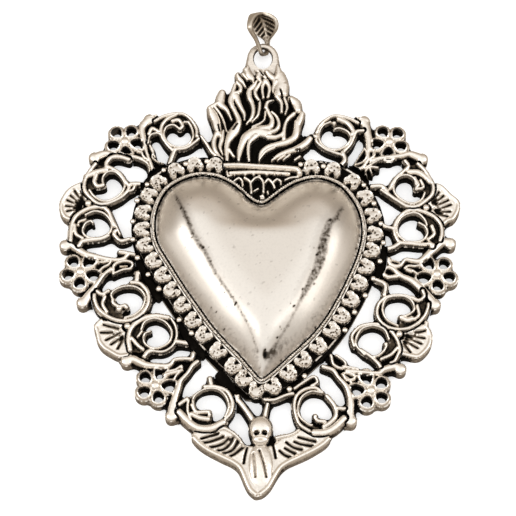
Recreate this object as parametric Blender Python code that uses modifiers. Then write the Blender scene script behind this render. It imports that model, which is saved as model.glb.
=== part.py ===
"""Sacred heart pendant in antique silver, lying on its back.

Blender works in metres; every size below is in millimetres and goes through MM when a mesh is made.
+Y runs from the heart to the bail, +Z comes out of the front, and the back plane is z = 0.
"""

import math

import bmesh
import bpy
from mathutils import Matrix, Vector

MM = 0.001

# Whole plate
CASTING_H = 2.3          # height of the openwork crests above the back plane
FLOOR_H = 1.2            # height of the sunk floors between the crests
SOLDER_GAP = 0.08        # capillary gap of a silver-soldered seam
BACK_PLATE_T = 0.9       # sheet that closes the dome from behind

# Heart: the bezel's middle line, from the cleft anticlockwise; the left side falls in sooner
HEART_LINE = [
    (0.4, 9.7), (-1.0, 10.4), (-2.5, 11.9), (-4.2, 13.3), (-6.6, 14.4), (-9.6, 14.6),
    (-12.6, 13.5), (-14.8, 11.5), (-16.0, 8.6), (-16.3, 5.6), (-15.7, 2.4), (-13.2, -2.0),
    (-11.4, -5.0), (-9.4, -8.0), (-7.4, -11.0), (-5.0, -13.9), (-2.8, -16.3), (-1.1, -18.4),
    (0.4, -19.9), (2.0, -19.0), (4.0, -17.1), (6.1, -15.1), (8.2, -13.0), (10.5, -10.0),
    (12.2, -7.0), (13.7, -4.0), (15.4, 0.0), (16.3, 3.4), (16.4, 5.8), (15.9, 8.3),
    (14.8, 10.6), (13.1, 12.7), (10.8, 13.9), (8.5, 14.1), (6.0, 13.4), (4.0, 12.2),
    (2.5, 11.0), (1.4, 10.1),
]
HEART_LEAN_X = 0.3       # the heart sits a little right of the eyelet's side
DOME_RISE = 5.5          # from the back plate to the crown
DOME_WALL = 0.8
DOME_SHOULDER = 5.2      # how far in from the foot the pillow levels out
LOBE_CENTRE = (7.2, 4.6)
LOWER_CENTRE_Y = -8.6
BEZEL_T = 0.5
FOOT_GAP = 0.3           # dark crevice between the dome's foot and the bezel
BEZEL_H = 2.6
BEZEL_LIP = 0.15

# Border of small hearts and pearls
BORDER_W = 3.2
BORDER_FLOOR_H = 1.5
HEARTS = 34
HEART_W = 2.4
HEART_L = 2.7
HEART_TOP_H = 2.3
PEARL_R = 0.42
PEARL_INSET = 0.5        # from the border's outer edge to the pearls' line
CUP_HALF_W = 6.1         # half the width of the brazier's lip
CUP_LIP_Y = 15.7

# Scroll rings: hole, crests and groove of the turned section
RING_HOLE_R = 2.3
RING_OUTER_R = 3.3
RING_GROOVE_H = 1.6
RING_STEPS = 20
FOOT_REACH = 6.6
# side, number, centre x, centre y, hook direction, hand, foot direction, link direction, link reach
RINGS = [
    ("left", 1, -12.5, 21.4, 86, 1, -101, 160, 4.8),
    ("left", 2, -23.7, 12.4, 172, -1, -5, 84, 4.9),
    ("left", 3, -25.0, 5.8, 170, 1, -31, -118, 4.7),
    ("left", 4, -19.8, -7.2, 239, -1, 74, 157, 4.9),
    ("left", 5, -15.4, -12.4, 175, 1, -18, -106, 4.5),
    ("left", 6, -7.1, -24.3, 238, -1, 90, 172, 4.9),
    ("right", 1, 12.3, 21.2, 90, -1, -79, 22, 4.8),
    ("right", 2, 23.8, 12.3, 15, 1, 185, 96, 4.9),
    ("right", 3, 24.3, 5.6, 20, -1, 211, -62, 4.7),
    ("right", 4, 21.5, -8.3, -61, 1, 106, 23, 4.9),
    ("right", 5, 17.4, -13.5, 0, -1, 196, -74, 4.5),
    ("right", 6, 8.6, -24.4, -77, 1, 90, 8, 4.9),
]
# Crescent leaf outside each left ring, as (angle, radius, half width); the right side mirrors it
LEAVES = {
    1: [(31, 3.1, 0.3), (60, 3.35, 0.4), (90, 3.65, 0.45), (115, 4.0, 0.45), (136, 4.6, 0.35)],
    2: [(114, 4.6, 0.3), (128, 4.25, 0.35), (146, 3.8, 0.45), (166, 3.45, 0.4), (186, 3.2, 0.3)],
    3: [(134, 3.15, 0.3), (156, 3.4, 0.35), (177, 3.65, 0.45), (197, 3.95, 0.45), (213, 4.4, 0.35)],
    4: [(174, 4.5, 0.3), (188, 4.2, 0.35), (206, 3.8, 0.45), (224, 3.5, 0.4), (242, 3.2, 0.3)],
    5: [(150, 3.1, 0.3), (169, 3.35, 0.35), (189, 3.65, 0.45), (207, 4.1, 0.4), (219, 4.7, 0.35)],
    6: [(192, 4.6, 0.3), (207, 4.05, 0.45), (226, 3.6, 0.5), (248, 3.3, 0.4), (266, 3.1, 0.3)],
}

# Flower brackets: five pierced petals between two knobbed bars
PETAL_R = 1.32
PETAL_OUT = 1.95
PETAL_TURNS = (36, -36, 108, -108, 180)
PIERCING_R = 0.82
BOSS_R = 0.75
KNOB_R = 0.85
FLOWERS = [
    ("left", 1, -21.1, 20.4, -48), ("left", 2, -27.3, -2.1, 17), ("left", 3, -15.4, -20.7, 33),
    ("right", 1, 20.8, 20.3, 228), ("right", 2, 27.5, -2.5, 163), ("right", 3, 16.9, -21.5, 143),
]
BAR_ROUTE = [(-0.9, 5.2, 0.55), (0.1, 4.2, 0.65), (1.3, 3.0, 0.6), (2.7, 1.9, 0.55),
             (4.4, 1.05, 0.55), (6.2, 0.85, 0.5), (7.9, 1.2, 0.45)]

KNOBS = [(-1.25, 5.45), (-1.25, -5.45)]

# Fan shells
SHELL_R = 4.4
SHELL_SPREAD = 104
SHELL_RIBS = 7
SHELL_FLOOR_H = 1.5
SHELLS = [
    ("left", 1, -26.2, 9.3, 176), ("left", 2, -19.7, -11.0, 216),
    ("right", 1, 26.4, 9.0, 4), ("right", 2, 21.5, -12.4, -33),
]

# Flames, eyelet and bail
EYELET = (0.8, 35.6)
EYELET_RX, EYELET_RY = 2.05, 2.35
EYELET_WIRE = 0.36
EYELET_Z = 1.5
BAIL_SEAT = 92           # where the bail hangs on the eyelet's oval, degrees round from +X
BAIL_CROSSING = (0.12, 1.35)    # the wire's place in the bail's loop: across, along
BAIL_TILT = 54           # lean of the bail's channel from straight up towards +X, degrees
BAIL_NOSE = 22           # rise of the bail's far end, degrees
BAIL_T = 0.6
# Half of the strap's centre line from the foot: across, along, half the strap's width
BAIL_PATH = [
    (0.0, 0.0, 0.32), (0.85, 0.2, 0.32), (1.5, 1.2, 0.32), (1.95, 2.6, 0.42), (2.3, 3.8, 0.9),
    (2.2, 5.0, 1.5), (1.5, 6.1, 2.0), (0.0, 6.6, 2.2),
]
BAIL_STEPS = 26

SILVER = (0.66, 0.61, 0.54)


def clear_scene():
    for old in list(bpy.data.objects):
        bpy.data.objects.remove(old, do_unlink=True)


def collection_named(name):
    made = bpy.data.collections.new(name)
    bpy.context.scene.collection.children.link(made)
    return made


def silver_material(name, colour, roughness):
    made = bpy.data.materials.new(name)
    made.use_nodes = True
    shader = made.node_tree.nodes["Principled BSDF"]
    shader.inputs["Base Color"].default_value = (*colour, 1.0)
    shader.inputs["Metallic"].default_value = 1.0
    shader.inputs["Roughness"].default_value = roughness
    return made


def mesh_object(name, bm):
    """A linked object from a bmesh in millimetres, with its faces turned outwards."""
    bmesh.ops.recalc_face_normals(bm, faces=bm.faces)
    bmesh.ops.scale(bm, vec=(MM, MM, MM), verts=bm.verts)
    mesh = bpy.data.meshes.new(name)
    bm.to_mesh(mesh)
    bm.free()
    made = bpy.data.objects.new(name, mesh)
    workshop.objects.link(made)
    return made


def bake(obj):
    """Applies what the object's modifiers make and drops them."""
    graph = bpy.context.evaluated_depsgraph_get()
    mesh = bpy.data.meshes.new_from_object(obj.evaluated_get(graph))
    obj.modifiers.clear()
    obj.data = mesh
    return obj


def combine(obj, others, operation):
    """One exact Boolean of obj with all the others, which are used up."""
    if not others:
        return obj
    tools = bpy.data.collections.new("boolean_tools")
    for other in others:
        tools.objects.link(other)
    cut = obj.modifiers.new("join_or_cut", "BOOLEAN")
    cut.operation = operation
    cut.operand_type = "COLLECTION"
    cut.collection = tools
    cut.solver = "EXACT"
    bake(obj)
    for other in others:
        bpy.data.objects.remove(other, do_unlink=True)
    bpy.data.collections.remove(tools)
    return obj


def catmull(p0, p1, p2, p3, t):
    return tuple(
        0.5 * (2 * b + (c - a) * t + (2 * a - 5 * b + 4 * c - d) * t * t + (3 * b - a - 3 * c + d) * t ** 3)
        for a, b, c, d in zip(p0, p1, p2, p3)
    )


def closed_route(points, count):
    """Count points at equal distances along the smooth closed curve through the given ones."""
    fine, n = [], len(points)
    for i in range(n):
        four = [points[(i + k - 1) % n] for k in range(4)]
        fine += [catmull(*four, j / 12) for j in range(12)]
    lengths = [0.0]
    for a, b in zip(fine, fine[1:] + fine[:1]):
        lengths.append(lengths[-1] + math.dist(a, b))
    route, k = [], 0
    for i in range(count):
        target = lengths[-1] * i / count
        while lengths[k + 1] < target:
            k += 1
        part = (target - lengths[k]) / (lengths[k + 1] - lengths[k])
        a, b = fine[k], fine[(k + 1) % len(fine)]
        route.append(tuple(u + (v - u) * part for u, v in zip(a, b)))
    return route


def heart_outline(out=0.0, count=72):
    """The bezel's middle line moved outwards, anticlockwise from the cleft."""
    route = closed_route(HEART_LINE, count)
    moved = []
    for i, (x, y) in enumerate(route):
        ahead, behind = route[(i + 1) % count], route[i - 1]
        tx, ty = ahead[0] - behind[0], ahead[1] - behind[1]
        size = math.hypot(tx, ty)
        moved.append((x + ty / size * out, y - tx / size * out))
    return moved


def bridged_outline(out, bridge_y, count=72):
    """A heart outline whose cleft is closed by a straight stretch at bridge_y under the flames."""
    kept = []
    for x, y in heart_outline(out, count):
        if y > 0 and abs(x - HEART_LEAN_X) < CUP_HALF_W:
            continue
        kept.append((x, y))
    first = max(range(len(kept)), key=lambda i: math.dist(kept[i], kept[i - 1]))
    kept = kept[first:] + kept[:first]
    return kept + [(CUP_HALF_W + HEART_LEAN_X, bridge_y), (HEART_LEAN_X - CUP_HALF_W, bridge_y)]


def turned_about(points, x, y, degrees):
    c, s = math.cos(math.radians(degrees)), math.sin(math.radians(degrees))
    return [(x + p[0] * c - p[1] * s, y + p[0] * s + p[1] * c, *p[2:]) for p in points]


def plate(outlines, low, high, soften=0.0):
    """A flat plate: the first outline is its edge and the others are holes in it."""
    curve = bpy.data.curves.new("plate", "CURVE")
    curve.dimensions = "2D"
    curve.fill_mode = "BOTH"
    curve.extrude = (high - low) / 2 * MM
    for outline in outlines:
        spline = curve.splines.new("POLY")
        spline.points.add(len(outline) - 1)
        spline.use_cyclic_u = True
        for point, (x, y) in zip(spline.points, outline):
            point.co = (x * MM, y * MM, 0, 1)
    made = bpy.data.objects.new("plate", curve)
    workshop.objects.link(made)
    bpy.context.view_layer.update()
    graph = bpy.context.evaluated_depsgraph_get()
    bm = bmesh.new()
    bm.from_mesh(bpy.data.meshes.new_from_object(made.evaluated_get(graph)))
    bpy.data.objects.remove(made, do_unlink=True)
    bmesh.ops.remove_doubles(bm, verts=bm.verts, dist=0.001 * MM)
    bmesh.ops.scale(bm, vec=(1 / MM, 1 / MM, 1 / MM), verts=bm.verts)
    bmesh.ops.translate(bm, vec=(0, 0, (low + high) / 2), verts=bm.verts)
    if soften:
        top = [f for f in bm.faces if f.normal.z > 0.9]
        bmesh.ops.inset_region(bm, faces=top, thickness=soften, depth=0, use_even_offset=True)
        for vert in {v for f in top for v in f.verts}:
            vert.co.z += soften
    return mesh_object("plate", bm)


def loft(sections, closed=False):
    """Skin over sections of equal point counts, with flat ends unless it closes on itself."""
    bm = bmesh.new()
    rings = [[bm.verts.new(p) for p in section] for section in sections]
    pairs = list(zip(rings, rings[1:])) + ([(rings[-1], rings[0])] if closed else [])
    for a, b in pairs:
        for i in range(len(a)):
            j = (i + 1) % len(a)
            bm.faces.new((a[i], a[j], b[j], b[i]))
    if not closed:
        bm.faces.new(rings[0])
        bm.faces.new(rings[-1])
    return mesh_object("loft", bm)


def ridge(stations, grow=0.0, base=0.0, crest=CASTING_H):
    """A flat-backed bar with a rounded crest along (x, y, half width[, crest height]) stations.

    With grow it becomes the tall straight-sided cutter that leaves that clearance around it.
    """
    sections = []
    for i, station in enumerate(stations):
        x, y, w = station[:3]
        top = station[3] if len(station) > 3 else crest
        ahead = stations[min(i + 1, len(stations) - 1)]
        behind = stations[max(i - 1, 0)]
        tx, ty = ahead[0] - behind[0], ahead[1] - behind[1]
        size = math.hypot(tx, ty)
        tx, ty = tx / size, ty / size
        end = grow * ((i == len(stations) - 1) - (i == 0))
        x, y, w = x + tx * end, y + ty * end, w + grow
        if grow:
            profile = [(-w, -1.0), (w, -1.0), (w, 6.0), (-w, 6.0)]
        else:
            shoulder = min(0.45, 0.8 * w)
            profile = [(-w, base), (w, base), (w, top - shoulder), (0.45 * w, top),
                       (-0.45 * w, top), (-w, top - shoulder)]
        sections.append([(x - ty * across, y + tx * across, z) for across, z in profile])
    return loft(sections)


def ball(x, y, z, radius, squash=1.0, segments=8, rings=5):
    bm = bmesh.new()
    bmesh.ops.create_uvsphere(bm, u_segments=segments, v_segments=rings, radius=radius)
    bmesh.ops.scale(bm, vec=(1, 1, squash), verts=bm.verts)
    bmesh.ops.translate(bm, vec=(x, y, z), verts=bm.verts)
    return mesh_object("ball", bm)


def disc(x, y, radius, low, high, segments=RING_STEPS, top_radius=None):
    bm = bmesh.new()
    bmesh.ops.create_cone(
        bm, cap_ends=True, segments=segments, radius1=radius,
        radius2=radius if top_radius is None else top_radius, depth=high - low)
    bmesh.ops.translate(bm, vec=(x, y, (low + high) / 2), verts=bm.verts)
    return mesh_object("disc", bm)


def finish(name, obj, material, shade_angle=40):
    """Names the piece, gives it its metal and puts it with the pendant's parts."""
    obj.name = name
    obj.data.name = name
    obj.data.materials.clear()
    obj.data.materials.append(material)
    obj.data.shade_smooth()
    obj.data.set_sharp_from_angle(angle=math.radians(shade_angle))
    workshop.objects.unlink(obj)
    pendant.objects.link(obj)
    return obj


def back_plate():
    edge = bridged_outline(BEZEL_OUT + BORDER_W, CUP_LIP_Y + 0.5)
    return finish("back_plate", plate([edge], 0, BACK_PLATE_T), satin)


def heart_dome():
    """Hollow pillow heart: rings that shrink from the foot line onto a V between the lobes."""
    foot = heart_outline(DOME_OUT, 40)
    spine = [Vector((HEART_LEAN_X - LOBE_CENTRE[0], LOBE_CENTRE[1])),
             Vector((HEART_LEAN_X, LOWER_CENTRE_Y)),
             Vector((HEART_LEAN_X + LOBE_CENTRE[0], LOBE_CENTRE[1]))]

    def nearest_on_spine(p):
        best = None
        for a, b in zip(spine, spine[1:]):
            t = max(0.0, min(1.0, (p - a).dot(b - a) / (b - a).length_squared))
            q = a + (b - a) * t
            if best is None or (p - q).length < (p - best).length:
                best = q
        return best

    low = BACK_PLATE_T + SOLDER_GAP
    rings = []
    for share in (0.0, 0.05, 0.14, 0.28, 0.45, 0.62):
        ring = []
        for x, y in foot:
            p = Vector((x, y))
            q = nearest_on_spine(p)
            inset = share * (q - p).length
            rise = 1 - (1 - min(inset / DOME_SHOULDER, 1)) ** 2.4
            spot = p + (q - p) * share
            ring.append((spot.x, spot.y, low + 0.9 * (share > 0) + (DOME_RISE - 0.9) * rise))
        rings.append(ring)
    bm = bmesh.new()
    verts = [[bm.verts.new(p) for p in ring] for ring in rings]
    for a, b in zip(verts, verts[1:]):
        for i in range(len(a)):
            j = (i + 1) % len(a)
            bm.faces.new((a[i], a[j], b[j], b[i]))
    bm.faces.new(verts[-1])
    made = mesh_object("dome", bm)
    wall = made.modifiers.new("wall", "SOLIDIFY")
    wall.thickness = DOME_WALL * MM
    wall.offset = -1
    bake(made)
    floor = disc(0, 0, 40, low - 3, low, 4)
    return finish("heart_dome", combine(made, [floor], "DIFFERENCE"), bright, 60)


def bezel_rim():
    count = 72
    outer, inner = heart_outline(BEZEL_OUT, count), heart_outline(-BEZEL_OUT, count)
    low = BACK_PLATE_T + SOLDER_GAP
    sections = []
    for (ox, oy), (ix, iy) in zip(outer, inner):
        out = Vector((ox - ix, oy - iy)).normalized() * BEZEL_LIP
        sections.append([
            (ox, oy, low), (ox, oy, BEZEL_H - BEZEL_LIP), (ox - out.x, oy - out.y, BEZEL_H),
            (ix + out.x, iy + out.y, BEZEL_H), (ix, iy, BEZEL_H - BEZEL_LIP), (ix, iy, low)])
    return finish("bezel_rim", loft(sections, closed=True), satin)


def small_heart(x, y, degrees):
    """A pillow heart whose tip points along degrees."""
    half = [(-0.27, 0.0), (-0.46, 0.26), (-0.12, 0.5), (0.3, 0.38)]
    shape = [(px * HEART_L, py * HEART_W) for px, py in half]
    shape += [(0.52 * HEART_L, 0.0)]
    shape += [(px, -py) for px, py in shape[-2:0:-1]]
    rim = turned_about(shape, x, y, degrees)
    crown = turned_about([(px * 0.7, py * 0.7) for px, py in shape], x, y, degrees)
    low = BORDER_FLOOR_H - 0.2
    shoulder = HEART_TOP_H - 0.3
    return loft([[(*p, low) for p in rim], [(*p, shoulder) for p in rim],
                 [(*p, HEART_TOP_H) for p in crown]])


def border_stations(out, count):
    """Points and outward angles at equal distances along the border, round the tip."""
    route = heart_outline(out, 180)
    lobe_x = CUP_HALF_W + 1.3
    run = [p for p in route if not (p[1] > 4 and abs(p[0] - HEART_LEAN_X) < lobe_x)]
    first = max(range(len(run)), key=lambda i: math.dist(run[i], run[i - 1]))
    run = run[first:] + run[:first]
    lengths = [0.0]
    for a, b in zip(run, run[1:]):
        lengths.append(lengths[-1] + math.dist(a, b))
    stations, k = [], 0
    for i in range(count):
        target = lengths[-1] * i / (count - 1)
        while k < len(run) - 2 and lengths[k + 1] < target:
            k += 1
        a, b = run[k], run[k + 1]
        part = (target - lengths[k]) / (lengths[k + 1] - lengths[k])
        outward = math.degrees(math.atan2(b[1] - a[1], b[0] - a[0])) - 90
        stations.append((a[0] + (b[0] - a[0]) * part, a[1] + (b[1] - a[1]) * part, outward))
    return stations


def border_cutter(grow=0.0):
    """Everything inside the border's outer edge, tall enough to trim the openwork."""
    return plate([bridged_outline(BEZEL_OUT + BORDER_W + grow, CUP_LIP_Y + 0.5 + grow)], -1, 6)


def border_of_hearts():
    low = BACK_PLATE_T + SOLDER_GAP
    outer = bridged_outline(BEZEL_OUT + BORDER_W, CUP_LIP_Y + 0.5)
    strip = plate([outer, heart_outline(BEZEL_OUT + SOLDER_GAP)], low, BORDER_FLOOR_H)
    notch = plate([[(HEART_LEAN_X - CUP_HALF_W, CUP_LIP_Y + 3), (HEART_LEAN_X - CUP_HALF_W, 14.2),
                    (HEART_LEAN_X, 6.0), (HEART_LEAN_X + CUP_HALF_W, 14.2),
                    (HEART_LEAN_X + CUP_HALF_W, CUP_LIP_Y + 3)]], -1, 6)
    combine(strip, [notch], "DIFFERENCE")
    mid = BEZEL_OUT + BORDER_W * 0.55
    hearts = [small_heart(*station) for station in border_stations(mid, HEARTS)]
    edge = border_stations(BEZEL_OUT + BORDER_W - PEARL_INSET, 2 * HEARTS - 1)[1::2]
    pearls = [ball(x, y, BORDER_FLOOR_H, PEARL_R, 1.3, 6, 3) for x, y, _ in edge]
    return finish("border_of_hearts", combine(strip, hearts + pearls, "UNION"), satin)


def brazier_cup():
    """Brazier under the flames: a lip bar, its beaded row and the drapery down into the cleft."""
    low = BACK_PLATE_T + SOLDER_GAP
    half = CUP_HALF_W - SOLDER_GAP
    top = CUP_LIP_Y + 0.5
    body = plate([[(HEART_LEAN_X - half, top - SOLDER_GAP), (HEART_LEAN_X - half, 14.2 + SOLDER_GAP),
                   (HEART_LEAN_X, 6.0 + 2 * SOLDER_GAP), (HEART_LEAN_X + half, 14.2 + SOLDER_GAP),
                   (HEART_LEAN_X + half, top - SOLDER_GAP)]], low, 1.6)
    lip = ridge([(HEART_LEAN_X - half + 0.3, 15.8, 0.22), (-3.0, 15.7, 0.35), (1.0, 15.6, 0.35),
                 (HEART_LEAN_X + half - 0.4, 15.2, 0.3)], base=low, crest=2.7)
    row = ridge([(-4.7, 14.9, 0.2), (0.2, 14.75, 0.3), (5.6, 14.2, 0.25)], base=low, crest=2.3)
    arches = []
    for x, y, r in ((-3.4, 13.0, 0.6), (-2.0, 12.4, 0.75), (-0.1, 12.4, 0.85), (1.7, 12.5, 0.7),
                    (3.2, 12.9, 0.6)):
        arch = [(x + r * math.cos(math.radians(a)), y + 1.15 * r * math.sin(math.radians(a)), 0.2)
                for a in (-20, 30, 90, 150, 200)]
        arches.append(ridge(arch, base=low, crest=2.2))
    drop = ridge([(0.3, 11.6, 0.3), (0.3, 10.3, 0.3)], base=low, crest=2.1)
    made = combine(body, [lip, row, drop] + arches, "UNION")
    seat = plate([heart_outline(BEZEL_OUT + SOLDER_GAP)], -1, 6)
    return finish("brazier_cup", combine(made, [seat], "DIFFERENCE"), satin)


FLAME_EDGE = [
    (-6.2, 16.3), (-6.3, 19.6), (-6.9, 21.2), (-7.2, 23.2), (-8.0, 25.9), (-7.2, 26.9),
    (-6.6, 28.4), (-5.9, 29.6), (-5.0, 28.9), (-4.2, 29.2), (-3.8, 31.4), (-3.2, 32.6),
    (-2.0, 32.8), (-1.6, 33.6), (3.3, 33.6), (4.2, 32.4), (4.7, 30.4), (4.8, 28.6), (6.2, 28.2),
    (6.9, 26.5), (7.5, 25.2), (7.1, 23.4), (7.0, 21.6), (6.6, 19.4), (6.5, 16.3),
]
FLAMES = [
    [(-6.0, 20.6, 0.3), (-6.5, 22.3, 0.5), (-7.0, 24.2, 0.5), (-7.6, 25.9, 0.35)],
    [(-5.1, 22.2, 0.25), (-5.5, 23.8, 0.35), (-6.2, 25.2, 0.3), (-7.0, 26.4, 0.3)],
    [(-4.3, 24.3, 0.2), (-5.0, 25.9, 0.4), (-5.9, 27.0, 0.5), (-5.9, 29.1, 0.4)],
    [(-4.9, 16.5, 0.25), (-4.9, 19.6, 0.4), (-4.2, 21.6, 0.6), (-3.0, 23.4, 0.45), (-3.4, 25.4, 0.3),
     (-4.2, 27.2, 0.35), (-3.9, 28.6, 0.3)],
    [(-2.1, 24.4, 0.2), (-2.4, 25.8, 0.35), (-3.5, 27.4, 0.35), (-2.9, 29.4, 0.3), (-3.5, 31.0, 0.2)],
    [(-2.0, 30.2, 0.2), (-2.7, 31.5, 0.35), (-3.0, 32.4, 0.3)],
    [(-1.9, 23.5, 0.2), (-0.3, 24.5, 0.35), (0.1, 26.0, 0.35), (-0.6, 27.6, 0.5), (-1.4, 29.2, 0.3),
     (0.2, 31.4, 0.35), (0.2, 33.3, 0.6)],
    [(-3.0, 16.5, 0.25), (-2.8, 19.0, 0.4), (-2.0, 21.3, 0.6), (0.3, 22.7, 0.8), (1.9, 24.2, 0.45),
     (1.3, 26.0, 0.35), (2.3, 27.6, 0.25)],
    [(-1.5, 16.5, 0.2), (-1.4, 18.9, 0.35), (-0.8, 20.9, 0.4), (0.6, 22.0, 0.3)],
    [(0.2, 16.5, 0.2), (0.8, 18.5, 0.35), (2.6, 19.7, 0.4), (5.2, 20.7, 0.45), (6.6, 22.2, 0.5),
     (6.1, 23.8, 0.4), (6.9, 25.4, 0.35)],
    [(2.2, 22.2, 0.3), (3.2, 23.2, 0.3), (2.7, 25.0, 0.25), (1.7, 26.0, 0.2)],
    [(2.2, 16.5, 0.2), (3.8, 18.0, 0.3), (5.6, 18.8, 0.4), (6.8, 19.6, 0.5)],
    [(4.3, 22.3, 0.25), (4.6, 23.9, 0.35), (5.5, 25.6, 0.35), (5.2, 27.3, 0.4), (5.9, 27.9, 0.3)],
    [(3.6, 25.5, 0.25), (4.0, 27.1, 0.3), (3.0, 28.7, 0.5), (3.4, 30.8, 0.7), (3.1, 33.0, 0.7)],
    [(1.0, 27.9, 0.2), (1.0, 29.4, 0.35), (1.4, 31.0, 0.3), (0.9, 32.6, 0.3)],
]


def eyelet_ring():
    """Round wire bent to an oval and let into the top of the flames."""
    sections = []
    for k in range(18):
        a = 2 * math.pi * k / 18
        out = Vector((EYELET_RY * math.cos(a), EYELET_RX * math.sin(a))).normalized()
        x, y = EYELET[0] + EYELET_RX * math.cos(a), EYELET[1] + EYELET_RY * math.sin(a)
        wire = EYELET_WIRE * (1.0 if math.sin(a) > 0.4 else 1.4)
        sections.append([
            (x + out.x * wire * math.cos(b), y + out.y * wire * math.cos(b),
             EYELET_Z + wire * math.sin(b))
            for b in (2 * math.pi * j / 8 for j in range(8))])
    return loft(sections, closed=True)


def flame_crown():
    base = plate([FLAME_EDGE], 0, FLOOR_H)
    strokes = [ridge(stroke, base=FLOOR_H - 0.4) for stroke in FLAMES]
    straps = [ridge(strap) for strap in FLAME_STRAPS]
    neck = disc(EYELET[0], EYELET[1] - EYELET_RY - 0.3, 1.3, 0.3, 1.9)
    made = combine(base, strokes + straps + [eyelet_ring(), neck], "UNION")
    hole = plate([turned_about(
        [((EYELET_RX - EYELET_WIRE) * math.cos(a), (EYELET_RY - EYELET_WIRE) * math.sin(a))
         for a in (2 * math.pi * k / 18 for k in range(18))], *EYELET, 0)], -1, 6)
    combine(made, [hole, border_cutter(SOLDER_GAP)], "DIFFERENCE")
    return finish("flame_crown", made, satin)


FLAME_STRAPS = [
    [(-5.6, 17.4, 0.3), (-7.2, 18.4, 0.35), (-7.9, 20.0, 0.35), (-8.7, 21.2, 0.5), (-10.2, 22.0, 0.4)],
    [(5.6, 18.6, 0.4), (7.2, 19.8, 0.5), (8.4, 21.1, 0.6), (10.0, 21.9, 0.4)],
]


def ring_members(side, number, x, y, hook, hand, foot, link, reach, grow=0.0):
    """A ring's foot to the border, its link to the next bracket and its outer leaf, as bars."""
    leaf = []
    for degrees, radius, w in LEAVES[number]:
        a = math.radians(degrees if side == "left" else 180 - degrees)
        leaf.append((x + radius * math.cos(a), y + radius * math.sin(a), w))
    foot_at = [(RING_OUTER_R - 0.35, 0.0, 0.75), (4.2, 0.0, 0.45), (FOOT_REACH, 0.0, 0.6)]
    link_at = [(RING_OUTER_R - 0.35, -0.9 * hand, 0.5), (reach - 0.4, -0.5 * hand, 0.45),
               (reach, 0.1 * hand, 0.4)]
    return [ridge(turned_about(foot_at, x, y, foot), grow),
            ridge(turned_about(link_at, x, y, link), grow), ridge(leaf, grow)]


def scroll_ring(side, number, x, y, *directions):
    """A turned ring with two crests and a groove, its inner volute, foot, link and leaf."""
    hook, hand = directions[:2]
    crest_in = RING_HOLE_R + 0.25
    crest_out = RING_OUTER_R - 0.25
    profile = [(RING_OUTER_R, 0), (RING_OUTER_R, CASTING_H - 0.3), (crest_out, CASTING_H),
               ((crest_in + crest_out) / 2, RING_GROOVE_H), (crest_in, CASTING_H - 0.1),
               (RING_HOLE_R, CASTING_H - 0.4), (RING_HOLE_R, 0)]
    sections = []
    for k in range(RING_STEPS):
        c, s = math.cos(2 * math.pi * k / RING_STEPS), math.sin(2 * math.pi * k / RING_STEPS)
        sections.append([(x + r * c, y + r * s, z) for r, z in profile])
    ring = loft(sections, closed=True)
    volute_at = [(1.5, 2.1 * hand, 0.3), (2.45, 1.35 * hand, 0.3), (2.75, 0.3 * hand, 0.35),
                 (2.1, -0.35 * hand, 0.35), (1.4, -0.1 * hand, 0.42)]
    volute = ridge(turned_about(volute_at, x, y, hook), crest=CASTING_H - 0.1)
    return combine(ring, [volute] + ring_members(side, number, x, y, *directions), "UNION")


def ring_cutters(side, number, x, y, *directions):
    body = disc(x, y, RING_OUTER_R + SOLDER_GAP, -1, 6)
    return [body] + ring_members(side, number, x, y, *directions, grow=SOLDER_GAP)


def petal_outline(count=20):
    """Edge of five discs round the boss, as one lobed line."""
    edge = []
    for k in range(count):
        a = 360 * k / count
        reach = 0
        for turn in PETAL_TURNS:
            off = math.radians(a - turn)
            inside = PETAL_R ** 2 - (PETAL_OUT * math.sin(off)) ** 2
            if inside > 0 and math.cos(off) > 0:
                reach = max(reach, PETAL_OUT * math.cos(off) + math.sqrt(inside))
        edge.append((reach * math.cos(math.radians(a)), reach * math.sin(math.radians(a))))
    return edge


def piercing(turn):
    """Petal-shaped hole: a long drop towards the border, rounder on the outer side."""
    inner, outer = (0.85, 3.0) if abs(turn) < 90 else (0.95, 2.65)
    mid = (inner + outer) / 2
    shape = [(inner, 0), (mid - 0.1, 0.8 * PIERCING_R), (outer - 0.35, 0.8 * PIERCING_R), (outer, 0),
             (outer - 0.35, -0.8 * PIERCING_R), (mid - 0.1, -0.8 * PIERCING_R)]
    return turned_about(shape, 0, 0, turn)


def flower_bars(x, y, degrees):
    bars = []
    for hand in (1, -1):
        route = [(a, hand * b, w) for a, b, w in BAR_ROUTE]
        bars.append(turned_about(route, x, y, degrees))
    return bars


def flower_bracket(side, number, x, y, degrees):
    """Pierced flower cast in one with its two bars, which end in knobs and leaf curls."""
    outline = turned_about(petal_outline(), x, y, degrees)
    holes = [turned_about(piercing(turn), x, y, degrees) for turn in PETAL_TURNS]
    web = turned_about([(1.9, 0.5), (5.5, 0.6), (5.5, -0.6), (1.9, -0.5)], x, y, degrees)
    parts = [plate([web], 0.2, FLOOR_H + 0.3)]
    for bar in flower_bars(x, y, degrees):
        parts.append(ridge(bar))
    for knob in turned_about(KNOBS, x, y, degrees):
        parts.append(ball(*knob, CASTING_H - KNOB_R, KNOB_R, 1.0, 8, 6))
    parts.append(ridge(turned_about([(3.2, 0, 0.35), (4.6, 0, 0.4)], x, y, degrees)))
    petals = combine(plate([outline], 0, CASTING_H - 0.35, 0.2), parts, "UNION")
    piercings = [plate([hole], -1, 6) for hole in holes]
    combine(petals, piercings, "DIFFERENCE")
    return combine(petals, [ball(x, y, CASTING_H - 0.45, BOSS_R, 0.8, 8, 5)], "UNION")


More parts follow.
